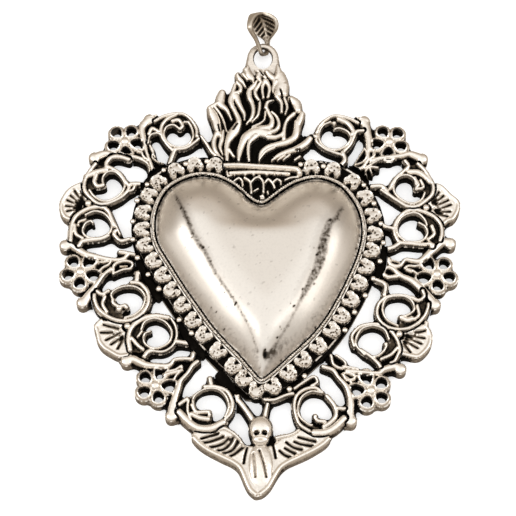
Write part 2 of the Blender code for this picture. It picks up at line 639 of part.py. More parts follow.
def shell_outline(x, y, degrees, grow=0.0):
    edge = [(-0.3 - grow, 0.9 + grow)]
    half = SHELL_SPREAD / 2
    for k in range(2 * SHELL_RIBS + 1):
        a = math.radians(half - SHELL_SPREAD * k / (2 * SHELL_RIBS))
        reach = SHELL_R + grow - (0.22 if k % 2 == 0 else 0)
        edge.append((reach * math.cos(a), reach * math.sin(a)))
    edge.append((-0.3 - grow, -0.9 - grow))
    return turned_about(edge, x, y, degrees)


def fan_shell(side, number, x, y, degrees):
    """Scallop fan: ribs that spread from a pearl at the root."""
    made = plate([shell_outline(x, y, degrees)], 0, SHELL_FLOOR_H)
    parts = [ball(x + 0.35 * math.cos(math.radians(degrees)), y + 0.35 * math.sin(math.radians(degrees)),
                  SHELL_FLOOR_H, 0.5, 1.5, 8, 5)]
    for k in range(SHELL_RIBS):
        a = degrees + SHELL_SPREAD * ((k + 0.5) / SHELL_RIBS - 0.5)
        rib = [(1.2, 0, 0.1, 1.8), (SHELL_R - 0.3, 0, 0.29, CASTING_H)]
        parts.append(ridge(turned_about(rib, x, y, a), base=SHELL_FLOOR_H - 0.3))
    return combine(made, parts, "UNION")


CHERUB_EDGE = [
    (-9.6, -28.1), (-7.6, -28.0), (-5.4, -27.2), (-3.8, -28.0), (-2.2, -29.8), (-1.2, -30.2),
    (-1.0, -26.6), (0.5, -25.7), (2.0, -26.6), (2.2, -29.6), (3.4, -28.8), (5.8, -27.9), (7.5, -27.7),
    (10.2, -28.2), (10.2, -29.1), (8.8, -30.5), (6.4, -31.8), (4.2, -32.9), (2.7, -34.3), (1.7, -36.0),
    (0.9, -37.4), (-0.1, -38.0), (-1.0, -37.4), (-1.6, -36.0), (-2.2, -34.2), (-3.3, -33.2),
    (-6.4, -31.7), (-9.3, -29.7),
]
CHERUB_RIDGES = [
    [(-9.2, -28.9, 0.3), (-6.2, -31.2, 0.4), (-3.2, -32.7, 0.45), (-1.9, -34.4, 0.4), (-1.2, -36.4, 0.4),
     (-0.1, -37.4, 0.5), (1.1, -36.2, 0.4), (2.3, -34.2, 0.4), (4.0, -32.5, 0.45), (6.6, -31.2, 0.4),
     (9.6, -29.1, 0.3)],
    [(-6.0, -27.8, 0.3), (-4.2, -28.6, 0.35), (-2.4, -30.4, 0.3)],
    [(2.8, -29.9, 0.3), (4.6, -28.9, 0.35), (7.0, -28.3, 0.3)],
    [(-0.6, -31.2, 0.5), (-0.8, -33.6, 0.45), (-0.2, -36.2, 0.3)],
    [(1.2, -31.2, 0.5), (1.0, -33.4, 0.4), (0.2, -35.8, 0.25)],
]
FEATHERS = 4
CHERUB_STRUTS = [
    [(0.2, -26.4, 0.5), (-1.4, -24.8, 0.45), (-2.9, -22.4, 0.5)],
    [(0.8, -26.2, 0.4), (1.1, -24.6, 0.3), (1.4, -22.6, 0.35)],
]


def cherub():
    """Winged head over the tail: plate, smooth border, feathers, robe, head and two struts."""
    parts = [ridge(stroke, base=FLOOR_H - 0.3) for stroke in CHERUB_RIDGES]
    for hand in (-1, 1):
        for k in range(FEATHERS):
            drop = 0.75 * k
            feather = [(hand * (2.6 + 0.45 * k), -31.4 + 0.15 * k + 0.2, 0.18),
                       (hand * (4.4 + 0.5 * k), -30.6 + 0.42 * drop, 0.24),
                       (hand * (6.6 + 0.55 * k), -30.3 + 0.75 * drop, 0.2)]
            parts.append(ridge([(x + 0.2, y, w) for x, y, w in feather],
                               base=FLOOR_H - 0.3, crest=CASTING_H - 0.2))
    parts += [ridge(strut) for strut in CHERUB_STRUTS]
    head = ball(0, 0, 0, 1.65, 1.0, 12, 8)
    head.data.transform(Matrix.Diagonal((1.0, 1.3, 1.0, 1.0)))
    head.data.transform(Matrix.Translation(Vector((0.5, -27.9, 1.55)) * MM))
    made = combine(plate([CHERUB_EDGE], 0, FLOOR_H + 0.3), parts + [head], "UNION")
    below = plate([[(-20, -45), (20, -45), (20, -20), (-20, -20)]], -4, 0)
    combine(made, [below], "DIFFERENCE")
    return made


def bail():
    """Cast strap bent to a drop: wide and leaf-shaped at the top, wire-thin through the eyelet."""
    half_t = BAIL_T / 2
    route = closed_route(BAIL_PATH + [(-a, b, w) for a, b, w in BAIL_PATH[-2:0:-1]], BAIL_STEPS)
    sections = []
    for k, (a, b, wide) in enumerate(route):
        ahead, behind = route[(k + 1) % BAIL_STEPS], route[k - 1]
        tangent = Vector((ahead[0] - behind[0], ahead[1] - behind[1])).normalized()
        out = Vector((tangent.y, -tangent.x))
        soft = 0.5 * half_t
        profile = [(half_t, soft - wide), (half_t, wide - soft), (half_t - soft, wide),
                   (soft - half_t, wide), (-half_t, wide - soft), (-half_t, soft - wide),
                   (soft - half_t, -wide), (half_t - soft, -wide)]
        sections.append([(a + out.x * t, b + out.y * t, w) for t, w in profile])
    made = loft(sections, closed=True)
    turn = (Matrix.Rotation(math.radians(BAIL_NOSE), 4, "X")
            @ Matrix.Rotation(math.radians(BAIL_TILT), 4, "Y"))
    seat = math.radians(BAIL_SEAT)
    hinge = Vector((EYELET[0] + EYELET_RX * math.cos(seat), EYELET[1] + EYELET_RY * math.sin(seat), EYELET_Z))
    made.data.transform(turn @ Matrix.Translation(-Vector((*BAIL_CROSSING, 0)) * MM))
    made.location = hinge * MM
    return finish("bail", made, satin, 50)


BEZEL_OUT = BEZEL_T / 2
DOME_OUT = -BEZEL_OUT - FOOT_GAP

clear_scene()
pendant = collection_named("sacred_heart_pendant")
workshop = collection_named("workshop")
satin = silver_material("antique_silver", SILVER, 0.34)
bright = silver_material("polished_silver", SILVER, 0.18)

back_plate()
heart_dome()
bezel_rim()
border_of_hearts()
brazier_cup()
flame_crown()

for index, row in enumerate(RINGS):
    made = scroll_ring(*row)
    cutters = [border_cutter(SOLDER_GAP)]
    for other in RINGS[:index]:
        if math.dist(row[2:4], other[2:4]) < 2 * RING_OUTER_R + 2.0:
            cutters += ring_cutters(*other)
    cutters += [ridge(strap, SOLDER_GAP) for strap in FLAME_STRAPS if row[1] == 1]
    combine(made, cutters, "DIFFERENCE")
    finish(f"scroll_ring_{row[0]}_{row[1]}", made, satin)


def near_rings(x, y, reach):
    cutters = []
    for row in RINGS:
        if math.dist((x, y), row[2:4]) < reach:
            cutters += ring_cutters(*row)
    return cutters


angel = cherub()
combine(angel, [border_cutter(SOLDER_GAP)] + near_rings(0.5, -28.0, 11.0), "DIFFERENCE")
finish("cherub", angel, satin)

for row in SHELLS:
    made = fan_shell(*row)
    combine(made, near_rings(row[2], row[3], 9.0), "DIFFERENCE")
    finish(f"fan_shell_{row[0]}_{row[1]}", made, satin)

for row in FLOWERS:
    made = flower_bracket(*row)
    cutters = [border_cutter(SOLDER_GAP)] + near_rings(row[2], row[3], 13.0)
    combine(made, cutters, "DIFFERENCE")
    finish(f"flower_bracket_{row[0]}_{row[1]}", made, satin)

bail()
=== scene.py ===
import math

import bpy
import numpy as np
from mathutils import Matrix, Vector


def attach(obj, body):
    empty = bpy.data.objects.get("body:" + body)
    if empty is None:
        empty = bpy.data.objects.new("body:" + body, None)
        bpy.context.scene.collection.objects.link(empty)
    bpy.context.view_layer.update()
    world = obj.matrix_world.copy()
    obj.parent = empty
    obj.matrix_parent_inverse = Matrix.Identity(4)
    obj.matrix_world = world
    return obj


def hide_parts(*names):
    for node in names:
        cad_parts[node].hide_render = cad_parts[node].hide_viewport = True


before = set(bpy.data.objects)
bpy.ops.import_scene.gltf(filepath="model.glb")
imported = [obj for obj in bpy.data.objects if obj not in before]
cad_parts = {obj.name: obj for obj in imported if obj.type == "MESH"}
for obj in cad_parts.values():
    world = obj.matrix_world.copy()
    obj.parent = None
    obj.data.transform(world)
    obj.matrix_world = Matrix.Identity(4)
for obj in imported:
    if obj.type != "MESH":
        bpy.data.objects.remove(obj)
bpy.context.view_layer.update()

# Camera, table and studio light
# The pendant lies on a white table and is seen from its foot, 24 degrees off the vertical. The
# room is white overhead, brown beyond the pendant's head and dusky low down, with two softboxes.
MM = 0.001
CAMERA_REACH, CAMERA_TILT = 300 * MM, math.radians(24)
FOCUS_HEIGHT = 2.4 * MM
LENS_LENGTH, SENSOR_WIDTH = 136.0, 36.0
ROOM_LEVEL = 1.25
ROOM_WHITE, ROOM_BROWN, ROOM_DUSK = (1, 1, 1, 1), (0.52, 0.45, 0.38, 1), (0.38, 0.33, 0.28, 1)
TABLE_HALF, TABLE_DROP = 0.6, 0.02 * MM
PAPER, PAPER_IN_SILVER, PAPER_GLOW = (0.86, 0.86, 0.86, 1), (0.42, 0.37, 0.31, 1), 0.45


def placed(name, data):
    """A new object of the scene that shows the data."""
    made = bpy.data.objects.new(name, data)
    bpy.context.scene.collection.objects.link(made)
    return made


def feed(tree, node, inputs):
    """Gives each named input its value, or links it to the socket given for it."""
    for key, value in inputs.items():
        if isinstance(value, bpy.types.NodeSocket):
            tree.links.new(value, node.inputs[key])
        else:
            node.inputs[key].default_value = value


def add_node(tree, kind, inputs=None, **settings):
    made = tree.nodes.new(kind)
    for name, value in settings.items():
        setattr(made, name, value)
    feed(tree, made, inputs or {})
    return made


def mixed(tree, share, first, second):
    return add_node(tree, "ShaderNodeMix", {"Factor": share, "A": first, "B": second},
                    data_type="RGBA").outputs["Result"]


def smooth_step(tree, value, low, high):
    return add_node(tree, "ShaderNodeMapRange", {"Value": value, "From Min": low, "From Max": high},
                    interpolation_type="SMOOTHSTEP").outputs[0]


def worked_out(tree, operation, first, second, clamp=False):
    return add_node(tree, "ShaderNodeMath", {0: first, 1: second}, operation=operation,
                    use_clamp=clamp).outputs[0]


def softbox(name, place, size, watts):
    """A square lamp turned to the pendant."""
    data = bpy.data.lights.new(name, "AREA")
    data.size, data.energy = size, watts
    made = placed(name, data)
    made.location = place
    made.rotation_euler = (-Vector(place)).to_track_quat("-Z", "Y").to_euler()


camera = placed("studio_camera", bpy.data.cameras.new("studio_camera"))
camera.location = (0, -CAMERA_REACH * math.sin(CAMERA_TILT),
                   FOCUS_HEIGHT + CAMERA_REACH * math.cos(CAMERA_TILT))
camera.rotation_euler = (CAMERA_TILT, 0, 0)
camera.data.lens, camera.data.sensor_width = LENS_LENGTH, SENSOR_WIDTH
camera.data.clip_start = 10 * MM
bpy.context.scene.camera = camera
bpy.context.scene.view_settings.view_transform = "Standard"

world = bpy.data.worlds.new("studio")
world.use_nodes = True
bpy.context.scene.world = world
room = world.node_tree
direction = add_node(room, "ShaderNodeTexCoord")
split = add_node(room, "ShaderNodeSeparateXYZ", {0: direction.outputs["Generated"]})
wall = mixed(room, smooth_step(room, split.outputs["Y"], 0.2, 0.9), ROOM_WHITE, ROOM_BROWN)
dusk = mixed(room, smooth_step(room, split.outputs["Z"], 0.1, 0.8), ROOM_DUSK, wall)
feed(room, room.nodes["Background"], {"Strength": ROOM_LEVEL, "Color": dusk})
softbox("left_softbox", (-0.50, -0.06, 0.40), 0.30, 0.68)
softbox("right_softbox", (0.52, -0.02, 0.38), 0.28, 0.6)

table_mesh = bpy.data.meshes.new("table")
table_mesh.from_pydata([(x * TABLE_HALF, y * TABLE_HALF, -TABLE_DROP)
                        for x, y in ((-1, -1), (1, -1), (1, 1), (-1, 1))], [], [(0, 1, 2, 3)])
table = placed("table", table_mesh)
paper = bpy.data.materials.new("white_paper")
paper.use_nodes = True
sheet = paper.node_tree
ray = add_node(sheet, "ShaderNodeLightPath")
# For glossy rays the paper takes a darker brown: a painted reflection tone seen in the silver, not
# the paper's own colour. The glow shows only to the camera.
feed(sheet, sheet.nodes["Principled BSDF"], {
    "Base Color": mixed(sheet, ray.outputs["Is Glossy Ray"], PAPER, PAPER_IN_SILVER),
    "Roughness": 0.9, "Emission Color": (1, 1, 1, 1),
    "Emission Strength": worked_out(sheet, "MULTIPLY", ray.outputs["Is Camera Ray"], PAPER_GLOW)})
table_mesh.materials.append(paper)

# Back plate
# A flat sheet of silver-plated metal that closes the hollow heart from behind. Its upper face only
# shows as the black bottom of the crevice round the dome: painted shade, with the patina that stays
# in the crevice.
PLATE_FACE = (0.7 * MM, 0.85 * MM)
PLATE_SOOT = 0.12
PATINA_AND_SHADE_STOPS = [(0.0, (0, 0, 0, 0)), (0.3, (0.40, 0.33, 0.26, 0.4)), (0.55, (0.10, 0.075, 0.05, 1)),
              (0.8, (0.012, 0.010, 0.008, 1)), (1.0, (0.006, 0.005, 0.004, 1))]
PATINA_AND_SHADE_ROUGHNESS, GRAIN_SCALE, GRAIN_DEPTH = 0.62, 2600, 0.05 * MM


def patina_and_shade_group():
    """Old silver: bright where it is rubbed, brown and then black where patina stays and where
    shade is painted in.
    """
    group = bpy.data.node_groups.new("silver_patina_and_shade", "ShaderNodeTree")
    for name, kind, value in (("Patina and Shade", "Float", 0.0), ("Silver", "Color", (0.86, 0.82, 0.76, 1)),
                              ("Mottle", "Float", 0.25), ("Polished Roughness", "Float", 0.3),
                              ("Warmth", "Float", 1.0)):
        group.interface.new_socket(name=name, in_out="INPUT",
                                   socket_type="NodeSocket" + kind).default_value = value
    for name, kind in (("Color", "Color"), ("Roughness", "Float"), ("Height", "Float")):
        group.interface.new_socket(name=name, in_out="OUTPUT", socket_type="NodeSocket" + kind)
    given, result = add_node(group, "NodeGroupInput"), add_node(group, "NodeGroupOutput")
    place = add_node(group, "ShaderNodeTexCoord")
    grain = add_node(group, "ShaderNodeTexNoise",
                     {"Vector": place.outputs["Object"], "Scale": GRAIN_SCALE, "Detail": 5})
    centred = worked_out(group, "SUBTRACT", grain.outputs["Fac"], 0.5)
    uneven = worked_out(group, "MULTIPLY", centred, given.outputs["Mottle"])
    patina_and_shade = worked_out(group, "ADD", given.outputs["Patina and Shade"], uneven, True)
    ramp = add_node(group, "ShaderNodeValToRGB", {"Fac": patina_and_shade})
    while len(ramp.color_ramp.elements) < len(PATINA_AND_SHADE_STOPS):
        ramp.color_ramp.elements.new(0.5)
    for element, (at, colour) in zip(ramp.color_ramp.elements, PATINA_AND_SHADE_STOPS):
        element.position, element.color = at, colour
    warm = add_node(group, "ShaderNodeHueSaturation", {"Saturation": given.outputs["Warmth"],
                                                       "Color": ramp.outputs["Color"]})
    rough = add_node(group, "ShaderNodeMapRange", {
        "Value": patina_and_shade, "To Min": given.outputs["Polished Roughness"], "To Max": PATINA_AND_SHADE_ROUGHNESS})
    feed(group, result, {
        "Color": mixed(group, ramp.outputs["Alpha"], given.outputs["Silver"], warm.outputs[0]),
        "Roughness": rough.outputs[0], "Height": grain.outputs["Fac"]})
    return group


patina_and_shade_nodes = patina_and_shade_group()


def silver_material(name, silver, roughness, mottle, bump, warmth=1.0, from_attribute=True):
    """Metal with the patina and painted shade; these are the piece's own attribute, or rise with
    the height, to black on the back plate's upper face as painted crevice shade with patina.
    """
    made = bpy.data.materials.new(name)
    made.use_nodes = True
    tree = made.node_tree
    if from_attribute:
        patina_and_shade = add_node(tree, "ShaderNodeAttribute", attribute_name="patina_and_shade").outputs["Fac"]
    else:
        # Back plate: darker with height, black on its upper face as painted crevice shade with
        # patina.
        place = add_node(tree, "ShaderNodeTexCoord")
        height = add_node(tree, "ShaderNodeSeparateXYZ", {0: place.outputs["Object"]})
        patina_and_shade = add_node(tree, "ShaderNodeMapRange", {
            "Value": height.outputs["Z"], "From Min": PLATE_FACE[0], "From Max": PLATE_FACE[1],
            "To Min": PLATE_SOOT}).outputs[0]
    patina_and_shade_node = add_node(tree, "ShaderNodeGroup", node_tree=patina_and_shade_nodes)
    feed(tree, patina_and_shade_node, {"Patina and Shade": patina_and_shade, "Silver": (*silver, 1), "Mottle": mottle,
                      "Polished Roughness": roughness, "Warmth": warmth})
    raised = add_node(tree, "ShaderNodeBump", {"Strength": bump, "Distance": GRAIN_DEPTH,
                                               "Height": patina_and_shade_node.outputs["Height"]})
    feed(tree, tree.nodes["Principled BSDF"], {
        "Metallic": 1.0, "Base Color": patina_and_shade_node.outputs["Color"],
        "Roughness": patina_and_shade_node.outputs["Roughness"], "Normal": raised.outputs["Normal"]})
    return made


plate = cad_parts["back_plate"]
plate.data.materials.clear()
plate.data.materials.append(
    silver_material("sheet_silver", (0.80, 0.76, 0.70), 0.36, 0.12, 0.25, from_attribute=False))

# Polished heart
# The hollow dome pressed from thin sheet, hand polished to a mirror with small pits. A dark line
# runs down each shoulder, a painted dark reflection with scratches and pits in it; a painted dark
# reflection also runs along the foot, and a black flaw sits over its tip.
CELL = 0.1
ORIGIN = np.array([-33.3, -39.3])
ACROSS, UP = 667, 787
OFF_PIECE = -9.0
CRUMB, LIP_DROP, THINNEST = 60, 0.14, 0.1
DOME_EDGE = 0.46
DOME_BACK, DOME_FOOT, DOME_TOP, DOME_SHOULDER = 0.9, 1.7, 6.4, 5.4
CROWN_WIDTH, SHOULDER_SHARE, PRESSED_SOFT = 9.0, 0.76, 0.8
FLAW, FLAW_WIDTH, FLAW_LENGTH, FLAW_DEPTH = (1.0, -16.3), 0.3, 0.55, 0.35
HEART_LINE = [
    0.4, 9.7, -1, 10.4, -2.5, 11.9, -4.2, 13.3, -6.6, 14.4, -9.6, 14.6, -12.6, 13.5, -14.8, 11.5,
    -16, 8.6, -16.3, 5.6, -15.7, 2.4, -13.2, -2, -11.4, -5, -9.4, -8, -7.4, -11, -5, -13.9,
    -2.8, -16.3, -1.1, -18.4, 0.4, -19.9, 2, -19, 4, -17.1, 6.1, -15.1, 8.2, -13, 10.5, -10,
    12.2, -7, 13.7, -4, 15.4, 0, 16.3, 3.4, 16.4, 5.8, 15.9, 8.3, 14.8, 10.6, 13.1, 12.7,
    10.8, 13.9, 8.5, 14.1, 6, 13.4, 4, 12.2, 2.5, 11, 1.4, 10.1]


def rows(flat, half_width=0.0, last_width=None):
    """x, y pairs in mm with a half width that may change evenly from the first to the last."""
    pairs = np.array(flat, float).reshape(-1, 2)
    widths = np.linspace(half_width, half_width if last_width is None else last_width, len(pairs))
    return np.column_stack([pairs, widths])


def stroke(widths, flat):
    """x, y pairs in mm with half widths spread evenly along them."""
    pairs = np.array(flat, float).reshape(-1, 2)
    at = np.linspace(0, len(widths) - 1, len(pairs))
    return np.column_stack([pairs, np.interp(at, np.arange(len(widths)), widths)])


def flowing(points, closed=False, every=0.3):
    """A Catmull-Rom line through the points."""
    p = np.asarray(points, float)
    p = np.vstack([p[-1:], p, p[:2]] if closed else [2 * p[:1] - p[1:2], p, 2 * p[-1:] - p[-2:-1]])
    made = []
    for a, b, c, d in zip(p, p[1:], p[2:], p[3:]):
        count = max(1, int(np.hypot(*(c - b)[:2]) / every))
        t = (np.arange(count) / count)[:, None]
        made.append(0.5 * (2 * b + (c - a) * t + (2 * a - 5 * b + 4 * c - d) * t ** 2
                           + (3 * b - a - 3 * c + d) * t ** 3))
    made.append(p[-2:-1])
    return np.vstack(made)


def window(line, reach):
    """The part of the grid within reach of the line: its slices, its x row and its y column."""
    low = np.maximum(np.floor((line[:, :2].min(0) - reach - ORIGIN) / CELL).astype(int), 0)
    high = np.ceil((line[:, :2].max(0) + reach - ORIGIN) / CELL).astype(int) + 1
    high = np.minimum(high, [ACROSS, UP])
    xs = ORIGIN[0] + CELL * np.arange(low[0], high[0])
    ys = ORIGIN[1] + CELL * np.arange(low[1], high[1])
    return (slice(low[1], high[1]), slice(low[0], high[0])), xs[None, :], ys[:, None]


def trace(line, reach):
    """A window of the grid, with each point's depth inside the line's half width there."""
    view, xs, ys = window(line, reach)
    depth = np.full((ys.size, xs.size), OFF_PIECE)
    width = np.zeros_like(depth)
    for a, b in zip(line[:-1], line[1:]):
        i0 = max(int((min(a[0], b[0]) - reach - xs[0, 0]) / CELL), 0)
        i1 = int((max(a[0], b[0]) + reach - xs[0, 0]) / CELL) + 2
        j0 = max(int((min(a[1], b[1]) - reach - ys[0, 0]) / CELL), 0)
        j1 = int((max(a[1], b[1]) + reach - ys[0, 0]) / CELL) + 2
        x, y, d = xs[:, i0:i1] - a[0], ys[j0:j1] - a[1], b - a
        t = np.clip((x * d[0] + y * d[1]) / max(d[0] ** 2 + d[1] ** 2, 1e-9), 0, 1)
        w = a[2] + t * d[2]
        s = w - np.hypot(x - t * d[0], y - t * d[1])
        kept, kept_width = depth[j0:j1, i0:i1], width[j0:j1, i0:i1]
        better = s > kept
        kept[better], kept_width[better] = s[better], w[better]
    return view, depth, width


def region(flat, reach=1.2, smooth=True):
    """A window of the grid, with each point's depth inside a closed outline."""
    p = rows(flat)
    line = flowing(p, True) if smooth else np.vstack([p, p[:1]])
    view, depth, _ = trace(line, reach)
    _, xs, ys = window(line, reach)
    inside = np.zeros(depth.shape, bool)
    for a, b in zip(line[:-1], line[1:]):
        if a[1] != b[1]:
            inside ^= ((ys >= min(a[1], b[1])) & (ys < max(a[1], b[1]))
                       & (xs < a[0] + (ys - a[1]) * (b[0] - a[0]) / (b[1] - a[1])))
    return view, np.where(inside, -depth, depth)


def blurred(field, spread):
    """The field softened over a distance in mm."""
    reach = int(3 * spread / CELL)
    weights = np.exp(-0.5 * (np.arange(-reach, reach + 1) * CELL / spread) ** 2)
    weights /= weights.sum()
    for axis in (0, 1):
        field = np.apply_along_axis(lambda row: np.convolve(row, weights, "same"), axis, field)
    return field


def soften(value, low, high):
    """0 up to low and 1 from high, with a smooth rise between them."""
    t = np.clip((value - low) / (high - low), 0, 1)
    return t * t * (3 - 2 * t)


def without_crumbs(inside, least):
    """The inside points, less the loose bodies with fewer points than least."""
    seen = np.zeros(inside.shape, bool)
    kept = np.zeros_like(inside)
    tall, wide = inside.shape
    for start in zip(*np.nonzero(inside)):
        if seen[start]:
            continue
        seen[start] = True
        body, stack = [start], [start]
        while stack:
            j, i = stack.pop()
            for near in ((j + 1, i), (j - 1, i), (j, i + 1), (j, i - 1)):
                if (0 <= near[0] < tall and 0 <= near[1] < wide and inside[near]
                        and not seen[near]):
                    seen[near] = True
                    stack.append(near)
                    body.append(near)
        if len(body) >= least:
            kept[tuple(zip(*body))] = True
    return kept


finished, lip_starts = [], {}


def dress(name, mesh, material, replaced=(), body="root"):
    """Puts a finished mesh in the scene on its body, in place of the CAD nodes it replaces."""
    mesh.name = name
    mesh.materials.clear()
    mesh.materials.append(material)
    made = placed(name, mesh)
    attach(made, body)
    if replaced:
        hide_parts(*replaced)
    finished.append(made)
    return made


def cast(name, top, cover, back, material, replaced=(), every=1, sharp=60):
    """A closed solid under the height field top, where cover is over 0, down to its back in mm."""
    top, cover = top[::every, ::every], cover[::every, ::every]
    found = np.nonzero(cover > 0)
    j0, j1 = found[0].min() - 1, found[0].max() + 2
    i0, i1 = found[1].min() - 1, found[1].max() + 2
    top, cover = top[j0:j1, i0:i1], cover[j0:j1, i0:i1]
    inside = without_crumbs(cover > 0, CRUMB)
    cover = np.where(inside, cover, np.minimum(cover, -0.01))
    tall, wide = inside.shape

    # Grid points inside come first, then the points where the outline cuts the grid's lines
    number = np.full(inside.shape, -1)
    jj, ii = np.nonzero(inside)
    total = rim_start = len(jj)
    number[jj, ii] = np.arange(total)
    points = [np.column_stack([ii, jj, top[jj, ii]])]
    crossing = []
    for dj, di in ((0, 1), (1, 0)):
        first, second = inside[:tall - dj, :wide - di], inside[dj:, di:]
        jj, ii = np.nonzero(first != second)
        cuts = np.full(inside.shape, -1)
        cuts[jj, ii] = total + np.arange(len(jj))
        crossing.append(cuts)
        total += len(jj)
        c0, c1 = cover[jj, ii], cover[jj + dj, ii + di]
        t = np.clip(c0 / (c0 - c1), 0.04, 0.96)
        z = np.where(first[jj, ii], top[jj, ii], top[jj + dj, ii + di])
        points.append(np.column_stack([ii + t * di, jj + t * dj, z]))
    points = np.vstack(points)
    points[:, :2] = ORIGIN + (points[:, :2] + (i0, j0)) * CELL * every
    under = points.copy()
    if callable(back):
        under[:, 2] = np.minimum(back(points[:, 0], points[:, 1]), points[:, 2] - THINNEST)
    else:
        under[:, 2] = back
    lip = points[rim_start:].copy()
    lip[:, 2] = np.maximum(lip[:, 2] - LIP_DROP, under[rim_start:, 2] + 0.02)
    to_lip = 2 * total - rim_start

    # Each cell's face goes round its inside corners and crossings; a wall hangs from each cut
    corner = [number[:-1, :-1], number[:-1, 1:], number[1:, 1:], number[1:, :-1]]
    along, upward = crossing
    edge = [along[:-1, :-1], upward[:-1, 1:], along[1:, :-1], upward[:-1, :-1]]
    code = sum((c >= 0) * 2 ** k for k, c in enumerate(corner))
    faces = []
    for case in range(1, 16):
        pick = code == case
        if not pick.any():
            continue
        walk, walls = [], []
        for k in range(4):
            here, after = case >> k & 1, case >> (k + 1) % 4 & 1
            if here:
                walk.append(corner[k][pick])
            if here != after:
                walk.append(edge[k][pick])
                if here:
                    walls.append(len(walk) - 1)
        ring = np.column_stack(walk)
        faces += [ring, ring[:, ::-1] + total]
        for at in walls:
            a, b = ring[:, at], ring[:, (at + 1) % ring.shape[1]]
            faces.append(np.column_stack([a, a + to_lip, b + to_lip, b]))
            faces.append(np.column_stack([a + to_lip, a + total, b + total, b + to_lip]))

    mesh = bpy.data.meshes.new(name)
    co = np.vstack([points, under, lip]) * MM
    mesh.vertices.add(len(co))
    mesh.vertices.foreach_set("co", co.ravel())
    corners = np.concatenate([f.ravel() for f in faces])
    sizes = np.concatenate([np.full(len(f), f.shape[1]) for f in faces])
    mesh.loops.add(len(corners))
    mesh.loops.foreach_set("vertex_index", corners.astype(np.int32))
    mesh.polygons.add(len(sizes))
    mesh.polygons.foreach_set("loop_start", (np.cumsum(sizes) - sizes).astype(np.int32))
    mesh.update(calc_edges=True)
    mesh.shade_smooth()
    mesh.set_sharp_from_angle(angle=math.radians(sharp))
    lip_starts[name] = 2 * total
    return dress(name, mesh, material, replaced)


def flaw_at(x, y):
    """The black flaw over the heart's tip: 1 at its middle."""
    return np.exp(-((x - FLAW[0]) / FLAW_WIDTH) ** 2 - ((y - FLAW[1]) / FLAW_LENGTH) ** 2)


xs_all = (ORIGIN[0] + CELL * np.arange(ACROSS))[None, :]
ys_all = (ORIGIN[1] + CELL * np.arange(UP))[:, None]
heart_view, heart_depth = region(HEART_LINE, 5.2)
inward = np.full((UP, ACROSS), OFF_PIECE)
inward[heart_view] = heart_depth
foot_distance = np.clip(inward - DOME_EDGE, 0, None)
side = np.sin(np.clip(foot_distance / DOME_SHOULDER, 0, 1) * math.pi / 2) ** 0.92
crown_rise = np.clip((foot_distance - 0.5 * DOME_SHOULDER) / CROWN_WIDTH, 0, 1)
pillow = DOME_FOOT + (DOME_TOP - DOME_FOOT) * (
    SHOULDER_SHARE * side + (1 - SHOULDER_SHARE) * np.sin(crown_rise * math.pi / 2))
foot_share = soften(foot_distance, 0.2, 2.2)
pillow = pillow * (1 - foot_share) + blurred(pillow, PRESSED_SOFT) * foot_share
pillow -= FLAW_DEPTH * flaw_at(xs_all, ys_all)
mirror_silver = silver_material("polished_silver_sheet", (0.735, 0.685, 0.62), 0.3, 0.22, 0.03,
                                warmth=0.7)
cast("polished_heart", pillow, inward - DOME_EDGE, DOME_BACK, mirror_silver,
     ("heart_dome",), every=2, sharp=75)

# Bezel
# A thin upright strip of silver round the foot of the dome, with its edge rolled to fine
# grains. The grains are set with a graining tool, one beside the other.
GROUND, SKIRT, SEAM, FILLET = 1.2, 0.14, 0.08, 0.45
BEZEL_HALF, BEZEL_TOP, GRAIN_PITCH, GRAIN_R = 0.17, 2.4, 0.4, 0.17


class Relief:
    """Heights and outline of one cast piece, in mm on the common grid."""

    def __init__(self):
        self.top = np.zeros((UP, ACROSS))
        self.cover = np.full((UP, ACROSS), OFF_PIECE)

    def lay(self, view, cover, height):
        kept, top = self.cover[view], self.top[view]
        near = cover > -0.2
        top[near] = np.maximum(top, height)[near]
        np.maximum(kept, cover, out=kept)

    def ridge(self, points, crest=2.3, base=GROUND, skirt=SKIRT, closed=False, flat=0.5):
        line = flowing(points, closed)
        view, depth, width = trace(line, line[:, 2].max() + skirt + 0.2)
        share = np.clip(1 - depth / np.maximum(width, 0.01), 0, 1)
        self.lay(view, depth + skirt, base + (crest - base) * (1 - share ** 2) ** flat)

    def plate(self, flat, height, bevel=0.3, drop=0.3, smooth=True):
        view, depth = region(flat, 1.2, smooth)
        self.lay(view, depth, height - drop * (1 - np.clip(depth / bevel, 0, 1)) ** 2)

    def pierce(self, flat, smooth=True):
        view, depth = region(flat, 0.8, smooth)
        kept = self.cover[view]
        np.minimum(kept, -depth, out=kept)

    def groove(self, points, depth, closed=False):
        line = flowing(points, closed)
        view, inner, width = trace(line, line[:, 2].max() + 0.2)
        share = np.clip(1 - inner / np.maximum(width, 0.01), 0, 1)
        self.top[view] -= depth * (1 - share ** 2)

    def bump(self, x, y, rx, ry, crest, base=GROUND, power=0.5):
        reach = max(rx, ry) + 0.3
        view, xs, ys = window(rows([x, y]), reach)
        q = np.hypot((xs - x) / rx, (ys - y) / ry)
        self.lay(view, (1 - q) * min(rx, ry),
                 base + (crest - base) * np.clip(1 - q ** 2, 0, 1) ** power)

    def trim(self):
        """Floods the narrow gaps, and stops a solder seam short of the pieces in place."""
        solid = blurred((np.maximum(self.cover, taken) > 0).astype(float), FILLET)
        near_own = blurred((self.cover > 0).astype(float), FILLET) > 0.12
        flood = np.where(near_own, (solid - 0.46) * 1.2, OFF_PIECE)
        self.top = np.where((self.cover < 0.02) & (flood > -0.1), GROUND, self.top)
        np.maximum(self.cover, flood, out=self.cover)
        np.minimum(self.cover, -taken - SEAM, out=self.cover)
        np.maximum(taken, self.cover, out=taken)

    def pour(self, name, node, back=0.0):
        """The finished casting, in place of its CAD node."""
        cast(name, self.top, self.cover, back, cast_silver, (node,))


